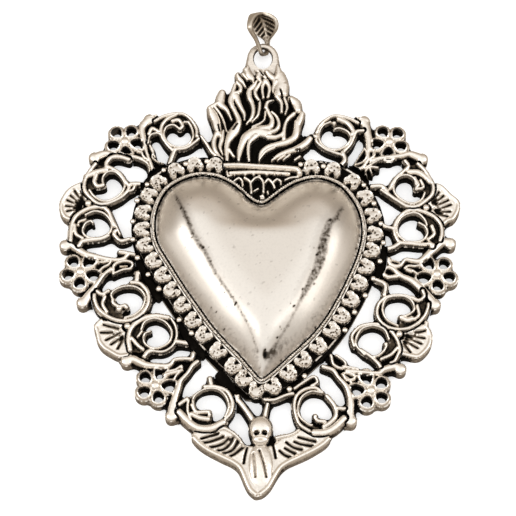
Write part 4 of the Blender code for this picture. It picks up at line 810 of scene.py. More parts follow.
# Scroll rings
# Twelve cast rings, each a double ridge with a sunk groove, a volute curling into its opening,
# and feet and leaves that are soldered to the border and to each other.
# Each line is its use, its half width and its x, y points: an edge also bounds the ring's floor,
# and a lip also bounds its opening.
RINGS = {
    "left_1": [
        ("edge", 0.22, [-9.7, 21.3, -9.8, 22.7, -10.7, 24.3, -12, 25.3, -13.6, 25.3, -15.2, 24.8,
         -16.4, 24]),
        ("floor", 0, [-15.6, 23.4, -15.4, 21.3, -14.6, 19.8, -13.6, 18.8, -12.2, 18.9, -10.6, 19.6,
         -9.5, 20.6]),
        ("lip", 0.2, [-12.6, 22.7, -13.5, 23.3, -14.6, 22.8, -14.9, 21.4, -14.1, 20, -12.8, 19.35,
         -11.3, 19.6, -10.35, 20.9, -10.45, 22.5, -11.1, 23.8, -11.7, 23.8]),
        ("vein", 0.25, [-13, 25.2, -14.4, 24.4, -15.3, 23.1, -15.3, 21.5, -14.5, 20, -13.6, 18.9]),
        ("vein", 0.25, [-13.6, 24, -12.6, 24.2, -12, 23.1, -12.4, 22.6]),
        ("vein", 0.22, [-13.6, 18.9, -11.4, 19.2, -10, 20.2, -9.1, 21.1, -8.4, 20.6, -7.7, 19.2,
         -7.5, 18]),
        ("vein", 0.3, [-13.2, 18.8, -13.7, 17.2, -13.9, 16.5]),
        ("vein", 0.25, [-17.3, 21.7, -16.8, 22.7, -15.8, 22.1]),
        ("vein", 0.16, [-17.4, 20, -17.1, 21.4, -16, 21.8, -15.4, 21.5])],
    "left_2": [
        ("edge", 0.25, [-25.6, 16.4, -26.5, 15.05, -27.05, 13.85, -27.25, 12.6, -26.9, 11.4,
         -26, 10.3, -24.9, 9.45, -23.6, 9.45, -22.1, 10.1, -20.9, 11, -20.2, 12.3, -20.9, 13.5,
         -21.7, 14.7, -22.8, 15.5, -23.9, 16]),
        ("lip", 0.2, [-24.25, 12.8, -24.35, 14, -23.6, 14.95, -22.5, 14.95, -21.45, 14,
         -20.9, 12.7, -21.35, 11.3, -22.65, 10.2, -24.15, 9.9, -25.55, 10.65, -26.4, 11.8]),
        ("vein", 0.35, [-26.9, 14.3, -25.4, 15, -23.9, 15.4]),
        ("vein", 0.3, [-23.9, 15.4, -23.8, 16.7, -23, 17.6, -21.7, 17.65, -20.4, 17.2]),
        ("vein", 0.3, [-25.4, 14.6, -25.65, 13.3, -25.1, 12.5, -24.3, 12.7]),
        ("vein", 0.28, [-20.2, 12.6, -19.9, 12.9, -18.6, 12.9]),
        ("vein", 0.2, [-20.2, 11.6, -19.6, 11.8, -19.3, 12.5])],
    "left_3": [
        ("edge", 0.28, [-29, 3.1, -28.95, 5.5, -28.5, 7, -27.4, 8.1, -25.9, 8.8, -24.25, 8.85,
         -23.3, 8.1, -22.8, 7, -22.2, 5.6]),
        ("floor", 0, [-22.6, 4.2, -24, 3.3, -26, 3, -27.6, 2.4]),
        ("lip", 0.2, [-26.8, 7.5, -25.5, 8.1, -24.1, 7.8, -23.1, 6.8, -22.7, 5.6, -23, 4.5,
         -24.1, 3.65, -25.5, 3.5, -26.7, 3.9, -27.2, 4.8, -26.8, 6, -25.9, 6.45, -25.65, 6.1]),
        ("vein", 0.25, [-28.5, 5.8, -28.2, 4.3, -27.2, 3.5]),
        ("vein", 0.16, [-27.9, 5.7, -27.8, 6.3, -26.8, 6.7]),
        ("vein", 0.3, [-27.7, 2.2, -27.2, 3, -25.8, 3.3, -24.25, 3.5, -23.3, 4]),
        ("vein", 0.26, [-22.1, 4.8, -22.3, 4.2, -21.3, 3.1, -20.05, 3.4]),
        ("vein", 0.16, [-22.2, 6, -21.4, 4.2])],
    "left_4": [
        ("edge", 0.26, [-19.4, -3.9, -18.1, -4.1, -16.95, -5.4, -16.7, -7.1, -17.5, -8.9,
         -19.2, -10.1, -21.3, -10.2, -23, -9.45, -24.3, -8.3, -24.95, -6.7, -25.05, -6]),
        ("floor", 0, [-24.5, -5.4, -22.9, -5.2, -21, -4.2]),
        ("lip", 0.2, [-22.15, -6.8, -22.4, -5.8, -21.3, -4.9, -19.6, -4.55, -18.2, -5,
         -17.3, -6.25, -17.6, -8, -18.75, -9.25, -20.25, -9.8]),
        ("open", 0, [-20.6, -9, -20, -8.1, -20.3, -7.7, -21.1, -7.95, -22.05, -7.4]),
        ("vein", 0.24, [-23.4, -6.3, -23.7, -7.5, -23, -8.8]),
        ("vein", 0.25, [-22.15, -6.8, -22.05, -7.4, -21.1, -7.95, -20.3, -7.7, -20, -8.1]),
        ("knob", 0.65, [-21.2, -8.3]),
        ("vein", 0.32, [-18.5, -2.35, -18.6, -3.6]),
        ("vein", 0.25, [-22.9, -5.3, -23.8, -5.9, -24.6, -5.4])],
    "left_5": [
        ("edge", 0.3, [-13.7, -9.7, -15.7, -9.4, -17.7, -10, -19.2, -11.4, -19.6, -13.2,
         -19.3, -15]),
        ("floor", 0, [-17.4, -15.4, -15.6, -15.5, -13.4, -14.8, -12.3, -13.2, -12.5, -11,
         -13.2, -9.9]),
        ("lip", 0.2, [-17.7, -11.7, -17.2, -10.5, -15.7, -9.9, -14.1, -10.5, -13.1, -12,
         -13.4, -13.7, -14.7, -14.6, -16.1, -14.7, -17.2, -13.8, -17.2, -12.5, -16.3, -12]),
        ("vein", 0.18, [-13.2, -9.9, -12.5, -11.2, -12.3, -12.8, -12.9, -14.4, -14.3, -15.3,
         -16, -15.2]),
        ("vein", 0.16, [-17.6, -12, -18.2, -12.9]),
        ("vein", 0.25, [-19.1, -13.1, -18, -14.4, -17.4, -14.9]),
        ("vein", 0.3, [-17.1, -16, -16.6, -15.3, -16, -15.1]),
        ("vein", 0.3, [-12.4, -13.6, -10.8, -13.9])],
    "left_6": [
        ("edge", 0.25, [-8, -20.9, -6.4, -20.9, -4.7, -21.6, -3.85, -23.2, -4, -24.9, -4.8, -26]),
        ("edge", 0.42, [-5.2, -26.5, -7, -27.4, -9, -27.3, -10.5, -26.2, -11.7, -24.9]),
        ("floor", 0, [-11.2, -23.4, -10, -22.2]),
        ("lip", 0.2, [-9.6, -24, -9.6, -22.6, -8.1, -21.4, -6.2, -21.3, -4.9, -22.3, -4.35, -24,
         -4.9, -25.7]),
        ("open", 0, [-5.6, -26.4, -6.8, -26.7, -7.2, -25.4, -7.7, -24.7, -9.2, -24.9]),
        ("vein", 0.18, [-10.4, -23, -10.5, -24.6, -10, -26.1]),
        ("vein", 0.25, [-9.8, -23.8, -9.2, -24.9, -8.1, -24.9, -7.3, -24.9, -7.2, -25.4]),
        ("vein", 0.3, [-9.9, -25.2, -8.7, -25.8, -7.4, -26]),
        ("vein", 0.3, [-7.2, -19.6, -7, -20.6]),
        ("vein", 0.25, [-10.6, -22.8, -11.7, -23.7])],
    "right_1": [
        ("edge", 0.22, [9.3, 21.9, 9.8, 23.1, 10.8, 24.2, 12.1, 24.95, 13.5, 24.8, 14.8, 24.35,
         15.9, 23.7]),
        ("floor", 0, [15.4, 22.8, 15.3, 21, 14.4, 19.4, 13.2, 18, 11.3, 18.6, 9.8, 19.5,
         9.1, 20.8]),
        ("lip", 0.2, [11.5, 23.8, 10.3, 23.1, 9.7, 21.7, 9.9, 20.2, 11, 19.1, 12.6, 18.9, 14, 19.7,
         14.7, 21, 14.2, 22.1, 12.9, 22.7, 12.2, 22.5]),
        ("vein", 0.33, [12.9, 24.4, 14.3, 23.6, 15.1, 22.3, 15, 21.7]),
        ("knob", 0.5, [12.1, 23.6]),
        ("vein", 0.25, [16.7, 22.3, 15.6, 22.1, 15.1, 21, 14.6, 19.8, 13.7, 18.7]),
        ("vein", 0.2, [9.3, 21.5, 9.3, 20.3, 10.5, 19.1, 12, 18.4, 13.2, 18]),
        ("vein", 0.3, [13.4, 18.4, 13.7, 17.1, 13, 16.1]),
        ("vein", 0.22, [9.3, 21.2, 8.4, 21.4, 7.3, 20.6])],
    "right_2": [
        ("edge", 0.25, [25.2, 16.4, 26.2, 15.3, 27, 13.8, 27.45, 12.5, 27.15, 11, 26.1, 9.9,
         24.8, 9, 23.3, 9, 22, 9.8, 20.6, 10.9, 19.9, 11.8]),
        ("floor", 0, [20.5, 12.8, 21.5, 14.2, 23, 15.6, 23.6, 16.2]),
        ("lip", 0.2, [24.7, 12.8, 24.5, 13.75, 23.4, 14.4, 22, 14, 21.3, 12.7, 21.45, 11.2,
         22.6, 10, 24.1, 9.45, 25.5, 10.1, 26.1, 11.3]),
        ("vein", 0.35, [23.8, 15.05, 25.3, 14.9, 26.6, 13.8, 27, 13.3]),
        ("vein", 0.25, [23.2, 16.9, 23.7, 16, 22.85, 15.05, 21.7, 14, 20.9, 12.7, 20.7, 12.1]),
        ("vein", 0.24, [24.6, 13.9, 25.1, 12.7, 24.8, 12.2]),
        ("vein", 0.2, [25.5, 13.5, 25.9, 12.3, 24.7, 11.9]),
        ("vein", 0.3, [18, 12.5, 19.4, 12.5, 20.2, 11.6]),
        ("vein", 0.2, [19.3, 11.8, 20.4, 10.9])],
    "right_3": [
        ("edge", 0.25, [28.2, 3.1, 28.5, 4.4, 28.35, 5.9, 27.4, 7.2, 26, 8, 24.2, 8.4, 22.7, 7.85,
         21.6, 6.6, 21.1, 5.1, 21.4, 3.65, 22, 2.8, 23.6, 2.6, 25.2, 2.45, 26.6, 2.6]),
        ("lip", 0.2, [22.9, 2.9, 21.8, 4, 21.55, 5.5, 22.2, 6.9, 23.5, 7.7, 24.9, 7.7, 25.9, 6.7,
         26.2, 5.8]),
        ("lip", 0.22, [25, 6.1, 26, 5.4, 26.2, 4.2, 25.4, 3.1, 24, 2.8, 23.2, 2.9]),
        ("vein", 0.33, [26.6, 2.6, 27, 2.35, 26.9, 2.05]),
        ("vein", 0.25, [27, 5.6, 27.3, 4.3, 26.4, 3.3]),
        ("vein", 0.3, [22, 2.8, 21.1, 2.1, 20.2, 1.8]),
        ("vein", 0.25, [19.1, 6, 19.9, 5.5, 21, 5.2])],
    "right_4": [
        ("edge", 0.22, [19.4, -6.4, 18.4, -7.5, 18.1, -9.1, 18.8, -10.6, 20.25, -11.5, 22.4, -11.6,
         24.1, -10.8, 25.3, -9.5, 25.9, -8.1, 26, -7.5]),
        ("floor", 0, [25.2, -6.6, 23.8, -6.3, 21.8, -5.9]),
        ("lip", 0.2, [21.2, -11.1, 19.6, -10.1, 19, -8.5, 19.4, -6.9, 20.5, -6.3, 22.4, -6.3,
         23.6, -7.25, 23.7, -8.6, 22.6, -9.4, 21.75, -9.6]),
        ("vein", 0.16, [19.4, -6.4, 20.9, -6, 22.6, -6.1, 23.2, -6.4]),
        ("vein", 0.35, [23.4, -9.9, 22.7, -10.1, 21.85, -9.7]),
        ("vein", 0.22, [24.3, -7.8, 24.5, -9.3, 23.8, -10]),
        ("vein", 0.25, [23.45, -6.4, 24.6, -6.9, 25.4, -6.2, 25.2, -5.3]),
        ("vein", 0.28, [19.3, -6, 19.5, -4.3, 18.2, -3.5])],
    "right_5": [
        ("edge", 0.22, [14.5, -14.4, 14.2, -12.8, 15, -11.6, 16, -11, 17.9, -10.8, 19.6, -11.4,
         20.9, -13, 21.4, -14.7, 21.3, -15.5]),
        ("floor", 0, [20, -16.4, 18, -16.9, 16.2, -16.2]),
        ("lip", 0.2, [16, -15.8, 14.9, -14.4, 14.9, -13, 15.8, -11.6, 17.6, -11.1, 19.2, -11.8,
         19.8, -13.3]),
        ("lip", 0.22, [19.4, -14.4, 18.9, -15.3, 18, -16, 17, -16.2]),
        ("knob", 0.5, [19.3, -14.1]),
        ("vein", 0.25, [15.5, -15, 17, -16.1, 18.1, -17.2, 18.4, -17.7]),
        ("vein", 0.22, [21, -14.7, 20, -15.8, 18.6, -16.5]),
        ("vein", 0.2, [21.3, -15.4, 20.6, -16.8, 20, -17.1])],
    "right_6": [
        ("edge", 0.22, [9.6, -21.8, 8.6, -21.1, 7.1, -21.3, 5.8, -22.3, 5.4, -23.8, 5.6, -25.4,
         6.2, -26.9, 7.6, -27.9]),
        ("edge", 0.42, [8.4, -28.1, 10.1, -28, 11.5, -27.2, 12.8, -25.9]),
        ("floor", 0, [12.2, -24.6, 11.6, -23.4, 10.6, -22.2]),
        ("lip", 0.2, [9.5, -21.9, 8, -21.7, 6.6, -22.5, 6, -24, 6.2, -25.6, 7.4, -26.8, 8, -27]),
        ("lip", 0.35, [9.8, -27.2, 10.8, -26.5, 11.6, -25.4, 11.4, -23.9, 10.3, -22.4]),
        ("knob", 0.5, [8.5, -25.6]),
        ("vein", 0.26, [8.5, -25.8, 8.9, -26.3, 9.9, -26.4]),
        ("vein", 0.25, [11.8, -24.3, 12.9, -24.4]),
        ("vein", 0.2, [8, -20.8, 8.9, -20.2, 8.4, -19.3, 7, -20.1, 5.5, -21.2]),
        ("vein", 0.22, [1, -23, 2.5, -23, 4.1, -22.3, 5.2, -22])]}
RING_FLOOR, CREST_TOP, KNOB_TOP = 1.62, 2.35, 2.4
for key, lines in RINGS.items():
    ring = Relief()
    ring.plate(sum((flat for use, _, flat in lines if use in ("edge", "floor")), []), RING_FLOOR,
               0.15, 0.05)
    ring.pierce(sum((flat for use, _, flat in lines if use in ("lip", "open")), []))
    for use, half_width, flat in lines:
        wider, skirt = (1.15, 0.05) if use == "lip" else (1.4, SKIRT)
        if use == "knob":
            ring.bump(*flat, half_width, half_width, KNOB_TOP)
        elif half_width:
            ring.ridge(rows(flat, half_width * wider), CREST_TOP, RING_FLOOR, skirt,
                       flat=CREST_ROUND)
    ring.trim()
    ring.pour(f"scroll_{key}", f"scroll_ring_{key}")

# Cherub
# A cast winged head over a robe that ends in the pendant's foot, joined under the two lowest
# rings by short struts. The face is plain, with sunk eyes.
WING_FLOOR, WING_BASE, ARM_TOP, RIM_TOP, STRUT_TOP = 1.95, 1.8, 2.35, 2.25, 2.2
FEATHER_DEPTH, EYES, EYE_DEPTH = 0.38, (-0.2, 0.95), 1.3
cherub = Relief()
CHERUB_OUTLINE = [
    -9.7, -28, -9.7, -29.1, -9.4, -29.6, -8.5, -30.4, -7.2, -31.3, -5.9, -32, -4.7, -32.6,
    -3.7, -33.1, -3, -33.5, -2.2, -34.2, -1.6, -36, -1, -37.4, -0.2, -38, 0.8, -37.4, 1.6, -36,
    2.6, -34.3, 3.5, -33.8, 4.2, -33.2, 6, -32.4, 8, -31.4, 10, -30.1, 10.5, -29.6, 10.8, -29,
    10.6, -28.5, 8.5, -27.9, 6.5, -27.5, 5.8, -27.9, 3.5, -28.8, 2.2, -29.8, 0.5, -30.3, -1.2, -30,
    -2.2, -29.9, -3.8, -28, -5.4, -27.2, -7.5, -27.7]
cherub.plate(CHERUB_OUTLINE, WING_FLOOR, 0.45, 0.35)
# The robe's middle
cherub.bump(0.4, -33.2, 1.9, 3.6, 2.6, 1.7)
WING_ARMS = [
    [-6, -27.7, -5, -27.5, -4.2, -27.9, -3.5, -28.4, -2.9, -29, -2.2, -30.1],
    [2.8, -29, 3.5, -28.8, 4.5, -28.6, 5.3, -28.3, 6, -27.8]]
for flat in WING_ARMS:
    cherub.ridge(rows(flat, 0.35, 0.25), ARM_TOP, WING_BASE)
FEATHERS = [
    [-8.4, -29, -6, -28.2],
    [-8.4, -29.7, -7, -29.4, -5.2, -28.7],
    [-7.6, -30.4, -6.4, -30.2, -5.3, -29.8, -4.4, -29],
    [-6.2, -30.9, -5, -30.6, -4.2, -29.8, -3.8, -29],
    [-5.2, -31.3, -4, -30.9, -3.4, -30.2, -3, -29.5],
    [-4.5, -31.9, -3.5, -31.4, -2.8, -30.8, -2.2, -30.3],
    [6, -28.8, 7.2, -29.1, 8.4, -29.4],
    [5.4, -29.5, 6.2, -29.8, 7.2, -30, 8, -30.1],
    [4.2, -29.6, 5, -30.2, 5.7, -30.5, 6.4, -30.65],
    [4, -30.5, 4.7, -30.9, 5.4, -31.25],
    [3.2, -30.9, 3.9, -31.5, 4.7, -31.85]]
for flat in FEATHERS:
    cherub.groove(rows(flat, 0.28, 0.42), FEATHER_DEPTH)
WING_RIMS = [
    [-9.5, -28.9, -8.6, -29.9, -7.2, -30.9, -5.4, -31.8, -3.8, -32.6, -2.6, -33.6, -1.9, -35.2,
     -1.2, -36.8, -0.4, -37.6],
    [10.4, -29.1, 9.6, -29.9, 8, -30.9, 6, -31.9, 4.4, -32.7, 3.2, -33.6, 2.2, -35.2, 1.4, -36.6,
     0.4, -37.5]]
for flat in WING_RIMS:
    cherub.ridge(rows(flat, 0.36), RIM_TOP, WING_BASE, 0.0)
ROBE_FOLDS = [
    ([0.2, -31, 0.8, -33, 1.2, -35], 0.4),
    ([-0.7, -31.5, -0.5, -33.5, -0.4, -35], 0.36),
    ([1.9, -29.2, 2.3, -30.4, 2.6, -32], 0.4),
    ([-1.6, -30.4, -1.9, -31.6, -2.1, -32.8], 0.4)]
for flat, depth in ROBE_FOLDS:
    cherub.groove(rows(flat, 0.26), depth)
cherub.ridge(rows([-3.4, -22.4, -2, -24.2, -0.7, -26.2], 0.5, 0.6), STRUT_TOP)
cherub.ridge(rows([1.6, -22.9, 1.2, -24.5, 0.9, -26.2], 0.4, 0.5), STRUT_TOP)
# Head and muzzle, then eyes, mouth and chin
cherub.bump(0.4, -27.6, 1.85, 2.1, 3.3, 1.6, power=0.4)
cherub.bump(0.35, -29.3, 1.35, 0.9, 3.0, 1.8, power=0.4)
for x in EYES:
    cherub.groove(rows([x - 0.1, -28.45, x + 0.1, -28.45], 0.34), EYE_DEPTH)
cherub.groove(rows([-0.4, -28.75, 0.4, -28.9, 1.2, -28.75], 0.16), 0.25)
cherub.groove(rows([0.1, -29.5, 0.65, -29.5], 0.12), 0.3)
cherub.bump(-3, -22.4, 0.42, 0.42, 2.4)
cherub.trim()
cherub.pour("winged_cherub", "cherub")

# Fan shells
# Four cast half shells that fill the hollows between the rings: a pearl, and sunk grooves that
# run out from it to a plain raised edge.
SHELLS = {
    "left_1": [(-26.5, 9.45),
        [-27.6, 13, -28.7, 12.5, -29.6, 11.8, -30.2, 10.85, -30.6, 9.9, -30.7, 9, -30.5, 8.05,
         -30, 7.2, -29.3, 6.9],
        [-28.3, 8.3, -26.6, 8.7, -25.9, 9.5, -26.9, 11.2],
        [(-28.7, 11.8, -27.5, 9.9), (-29.3, 11, -27.7, 9.6), (-29.8, 10.2, -27.8, 9.4),
         (-29.95, 9.2, -27.8, 9.1), (-29.75, 8.3, -27.9, 8.9), (-29.1, 7.2, -28, 8.5),
         (-27.6, 11.8, -27.4, 10.2)]],
    "left_2": [(-19.8, -11.2),
        [-23.9, -10.2, -24.6, -11.05, -24.4, -11.8, -24.2, -12.65, -23.9, -13.7, -23.2, -14.6,
         -22.6, -15, -21, -15.9, -19.8, -15.8],
        [-19.6, -14, -19.4, -12, -19.5, -10.8, -21.5, -10.4],
        [(-23.45, -10.8, -21.3, -11.4), (-23.8, -12.1, -22.1, -12), (-23, -13.3, -21, -12.1),
         (-22.2, -14, -20.8, -12.8), (-21.2, -14.7, -20.5, -13)]],
    "right_1": [(26.2, 8.7),
        [27.8, 12.8, 28.5, 12.6, 29.2, 12, 30, 11, 30.9, 10.2, 31.25, 9.45, 31.1, 8.5, 30.7, 7.6,
         30.2, 6.9, 29.6, 6.75, 28.8, 6.1],
        [28, 7.4, 26.4, 8, 25.9, 8.9, 27, 10.6],
        [(28.3, 11.6, 27.4, 10.1), (29, 10.95, 27.5, 9.7), (29.7, 10.2, 28, 9.4),
         (30.1, 9.4, 27.7, 8.6), (29.95, 8.2, 27.9, 8.3), (29.5, 7.4, 28.1, 7.9)]],
    "right_2": [(21.4, -12.5),
        [25.6, -10.5, 25.5, -11.2, 25.8, -11.6, 26.1, -12.6, 26, -13.65, 25.6, -14.6, 24.8, -15.5,
         23.9, -16, 21.75, -15.5],
        [21.5, -14.5, 21, -12.8, 21.2, -12, 23.5, -11.6],
        [(25.3, -11.8, 23.9, -12.05), (25.2, -13, 22.6, -12.4), (24.7, -13.9, 22.6, -12.8),
         (24.1, -14.6, 22.3, -13.3), (23, -15.25, 22.1, -13.8)]]}
SHELL_FLOOR, SHELL_BASE, SHELL_RIM, RAY_DEPTH = 1.95, 1.8, 2.15, 0.36
SEAT_HALF, SEAT_DEPTH, SHELL_PEARL_R, SHELL_PEARL_Z = 0.95, 0.9, 0.52, 2.1
shell_pearls = []
for key, (pearl, edge, back, grooves) in SHELLS.items():
    shell = Relief()
    shell.plate(edge + back, SHELL_FLOOR, 0.2, 0.1)
    shell.ridge(rows(edge, 0.32), SHELL_RIM, SHELL_BASE, 0.05)
    for flat in grooves:
        shell.groove(rows(flat, 0.3, 0.5), RAY_DEPTH)
    shell.groove(rows([*pearl, pearl[0] + 0.01, pearl[1]], SEAT_HALF), SEAT_DEPTH)
    shell.trim()
    shell.pour(f"shell_{key}", f"fan_shell_{key}")
    shell_pearls.append((*pearl, SHELL_PEARL_Z))
bead_row("shell_pearls", shell_pearls, SHELL_PEARL_R, 0.05, 3)

# Flower brackets
# Six cast flowers with five pierced petals, each held between two bars that start at a rounded
# knob and run in curls and leaves to the border.
FLOWERS = {
    "left_1": [(-21.1, 20.4, -48), (-17.3, 24.4, -25.8, 17.6), [
        (0.5, 0.26, [-17.3, 24.4, -18.2, 23.4, -18.4, 22.3, -18, 20.5, -17.6, 18.5, -16.9, 16.5,
         -16.5, 15.3]),
        (0.18, 0.18, [-17, 19.5, -16.9, 19, -16.2, 17.5]),
        (0.5, 0.3, [-25.8, 17.6, -24.8, 18.1, -23.9, 18.3, -22.6, 18.0, -20.9, 17.9, -19.4, 17.6,
         -18.2, 17.2]),
        (0.3, 0.14, [-18.4, 17.2, -17.4, 16.4, -17, 14.9]),
        (0.3, 0.2, [-18.9, 18.6, -18.3, 18.3]),
        (0.2, 0.14, [-17.2, 19.8, -16.5, 18.6, -16.7, 17.6, -15.8, 16.7, -14.9, 16.4]),
        (0.2, 0.2, [-16.2, 25, -17.4, 24.7])]],
    "left_2": [(-27.3, -2.1, 17), (-29.8, 2.4, -26.8, -7.2), [
        (0.5, 0.3, [-29.8, 2.5, -28.9, 2.6, -28.3, 2.1, -26.8, 1, -25.1, 0.5, -23.1, 0,
         -21.2, -0.1, -20.4, 0.3, -20.15, 1, -21.3, 1.2]),
        (0.35, 0.35, [-19.8, 0.95, -19.2, 0.8]),
        (0.5, 0.3, [-26.6, -7.1, -25.8, -5.8, -24.7, -4.2, -23.7, -2.7, -22.6, -1.7]),
        (0.26, 0.26, [-22.2, -2.5, -22.1, -1, -20.6, -0.35, -19.35, -0.7, -19.6, -1.6, -20.7, -1.8,
         -21.75, -2.3]),
        (0.15, 0.15, [-21.2, -1.3, -20.15, -1.25])]],
    "left_3": [(-15.4, -20.7, 33), (-19.8, -16.7, -12.9, -25.5), [
        (0.45, 0.3, [-19.8, -16.6, -18.8, -16.4, -17, -17.3, -15.4, -17.5, -13.4, -17.5,
         -12.6, -16.6, -11.4, -16.4, -10, -16.4, -9.8, -15.6]),
        (0.5, 0.3, [-12.9, -25.5, -12.7, -24, -12.5, -23, -11.9, -21, -11.6, -20, -10.6, -18.8,
         -9.9, -17.6, -9.1, -16.9]),
        (0.3, 0.25, [-13.9, -19, -12.6, -18.6, -11.4, -18.3])]],
    "right_1": [(20.8, 20.3, 228), (16.9, 24.1, 25.9, 17.4), [
        (0.5, 0.28, [16.8, 24.2, 17.2, 22.8, 17.5, 21, 17.5, 19.2, 17.3, 18.4, 17.3, 17.2,
         16.5, 15.8, 15.6, 15.5, 15.1, 15.8]),
        (0.5, 0.3, [25.9, 17.4, 24.9, 17.9, 23.9, 18.2, 22.4, 17.8, 20.6, 17.6, 19.2, 17.4,
         18, 17]),
        (0.16, 0.16, [16.8, 19.1, 17.2, 18.1, 16.6, 16.8, 15.3, 16.3, 15.9, 17.5, 16.8, 19.1]),
        (0.26, 0.12, [17.6, 17.2, 18.4, 17.9, 18.5, 18.9]),
        (0.22, 0.12, [16.8, 15.6, 18.4, 16.6, 19.8, 17.2]),
        (0.24, 0.12, [18.8, 15.7, 17.6, 15.8, 16.9, 15, 17.1, 13.9]),
        (0.2, 0.12, [17.6, 15.6, 17.9, 14.6]),
        (0.2, 0.2, [15.6, 24.6, 16.8, 24.4])]],
    "right_2": [(27.5, -2.5, 163), (29.7, 2.7, 27, -7.5), [
        (0.5, 0.3, [29.8, 2.9, 28.45, 2.9, 27.15, 1.7, 26, 0.6, 24.9, -0.3, 23.6, -0.2, 22.7, -0.1,
         21.7, -1.2, 20.4, -0.9, 20.2, 0]),
        (0.15, 0.15, [20.6, -0.2, 21.7, -0.6]),
        (0.5, 0.3, [26.9, -7.5, 25.9, -6.1, 24.8, -4.7, 23.45, -3.5, 22, -2.8, 20.7, -1.6,
         19.9, -1.4, 19.2, -2.2, 19.9, -3, 21.3, -2.9]),
        (0.28, 0.28, [22.9, -1.8, 23.5, -2.1])]],
    "right_3": [(16.9, -21.5, 143), (21.4, -18, 13.8, -26.2), [
        (0.45, 0.3, [21.4, -18, 20.7, -17.6, 18.9, -18.1, 18.3, -18.7, 17, -18.7, 14.8, -18.5,
         13.4, -18.4]),
        (0.25, 0.25, [12.8, -17.7, 13.6, -17.8, 15, -18.1]),
        (0.25, 0.25, [11, -15.9, 11.4, -17.4, 12.7, -18, 13.2, -17.2, 12.5, -16.4, 11.8, -15.9]),
        (0.5, 0.3, [13.8, -26.3, 13.7, -25, 13.8, -23, 13.3, -21, 12.1, -19.5, 11.3, -18.3,
         9.8, -17.7]),
        (0.25, 0.25, [12.8, -19, 13.3, -19.8, 14.4, -19.7, 14.4, -19, 13.7, -18.7])]]}
FRONT_LEAF = [(2.9, -0.7), (3.6, -0.3), (4.5, -0.1), (5.0, 0.5), (3.9, 0.5), (3.0, 0.8)]
PETAL_TURNS = (36, -36, 108, -108, 180)
PETAL_OUT, PETAL_R, FLOWER_TOP, BAR_BASE, KNOB_R, MAIN_BAR = 2.0, 1.42, 1.85, 1.5, 0.95, 0.4


def turned(x, y, degrees, points):
    c, s = math.cos(math.radians(degrees)), math.sin(math.radians(degrees))
    return [v for a, b in points for v in (x + a * c - b * s, y + a * s + b * c)]


def petal_opening(turn):
    """The pierced drop of one petal, with its point to the flower's middle."""
    long_petal = abs(turn) < 60
    middle, half_length, half_width = (2.15, 1.15, 0.86) if long_petal else (1.9, 0.88, 0.8)
    drop = [(middle + half_length * math.cos(t),
             half_width * math.sin(t) * (1 + 0.28 * math.cos(t)))
            for t in (k * math.tau / 16 for k in range(16))]
    return np.reshape(turned(0, 0, turn, drop), (-1, 2))


for key, ((x, y, degrees), knobs, bars) in FLOWERS.items():
    flower = Relief()
    for turn in PETAL_TURNS:
        lobe = turned(0, 0, turn, [(PETAL_OUT, 0)])
        flower.bump(*turned(x, y, degrees, [lobe]), PETAL_R, PETAL_R, FLOWER_TOP, BAR_BASE,
                    power=0.3)
    flower.bump(x, y, 1.5, 1.5, FLOWER_TOP, BAR_BASE, power=0.3)
    for turn in PETAL_TURNS:
        flower.ridge(rows(turned(x, y, degrees, petal_opening(turn)), 0.42), 2.2, 1.7, 0.0,
                     closed=True)
    for turn in PETAL_TURNS:
        flower.pierce(turned(x, y, degrees, petal_opening(turn)))
    flower.bump(x, y, 0.75, 0.75, 2.5, 1.9)
    flower.ridge(rows(turned(x, y, degrees, FRONT_LEAF), 0.28), 2.2)
    for first, last, flat in bars:
        thick = (1.2 * first, last)
        if first > MAIN_BAR:
            thick = (1.6 * first, 1.15 * first, 1.2 * last, 1.4 * last)
        flower.ridge(stroke(thick, flat), CREST_TOP, BAR_BASE, 0.12, flat=CREST_ROUND)
    for place in np.reshape(knobs, (-1, 2)):
        flower.bump(*place, KNOB_R, KNOB_R, CREST_TOP, BAR_BASE, power=0.35)
    flower.trim()
    flower.pour(f"flower_{key}", f"flower_bracket_{key}")

# Bail
# A cast strap bent to a closed drop that hangs loose on the eyelet. It is wire-thin through the
# ring; its right leg is a leaf with engraved veins, and its left leg is a bowed strand.
BAIL_PATH = [
    (0, 0, 0.32), (0.85, 0.2, 0.32), (1.5, 1.2, 0.34), (1.8, 2.0, 0.5), (2.0, 2.7, 1.3),
    (2.1, 3.4, 2.1), (2.1, 4.3, 2.5), (1.95, 5.2, 2.4), (1.4, 6.0, 1.85), (0.3, 6.5, 1.15),
    (-1.1, 6.45, 0.72), (-2.3, 5.75, 0.5), (-2.95, 4.8, 0.42), (-2.6, 3.9, 0.34),
    (-1.75, 2.65, 0.28), (-1.3, 1.3, 0.28), (-0.95, 0.25, 0.3)]
BAIL_CROSSING, BAIL_TILT, BAIL_NOSE, BAIL_LEAN = (0.0, 1.25), 54, 32, 14
BAIL_HALF_T, BAIL_SEAT, VEIN_PITCH = 0.3, 90, 7.0
FACE_STEPS = 18
ENGRAVED_FACE = [-1 + 2 * step / FACE_STEPS for step in range(FACE_STEPS + 1)]
UNDERSIDE = (0.98, 0.8, 0.4, 0, -0.4, -0.8, -0.98)


def half_thickness(s):
    """Half the strap's thickness at s, which runs across it from -1 to 1."""
    return BAIL_HALF_T * (0.5 + 0.5 * math.sqrt(max(0, 1 - abs(s) ** 6)))


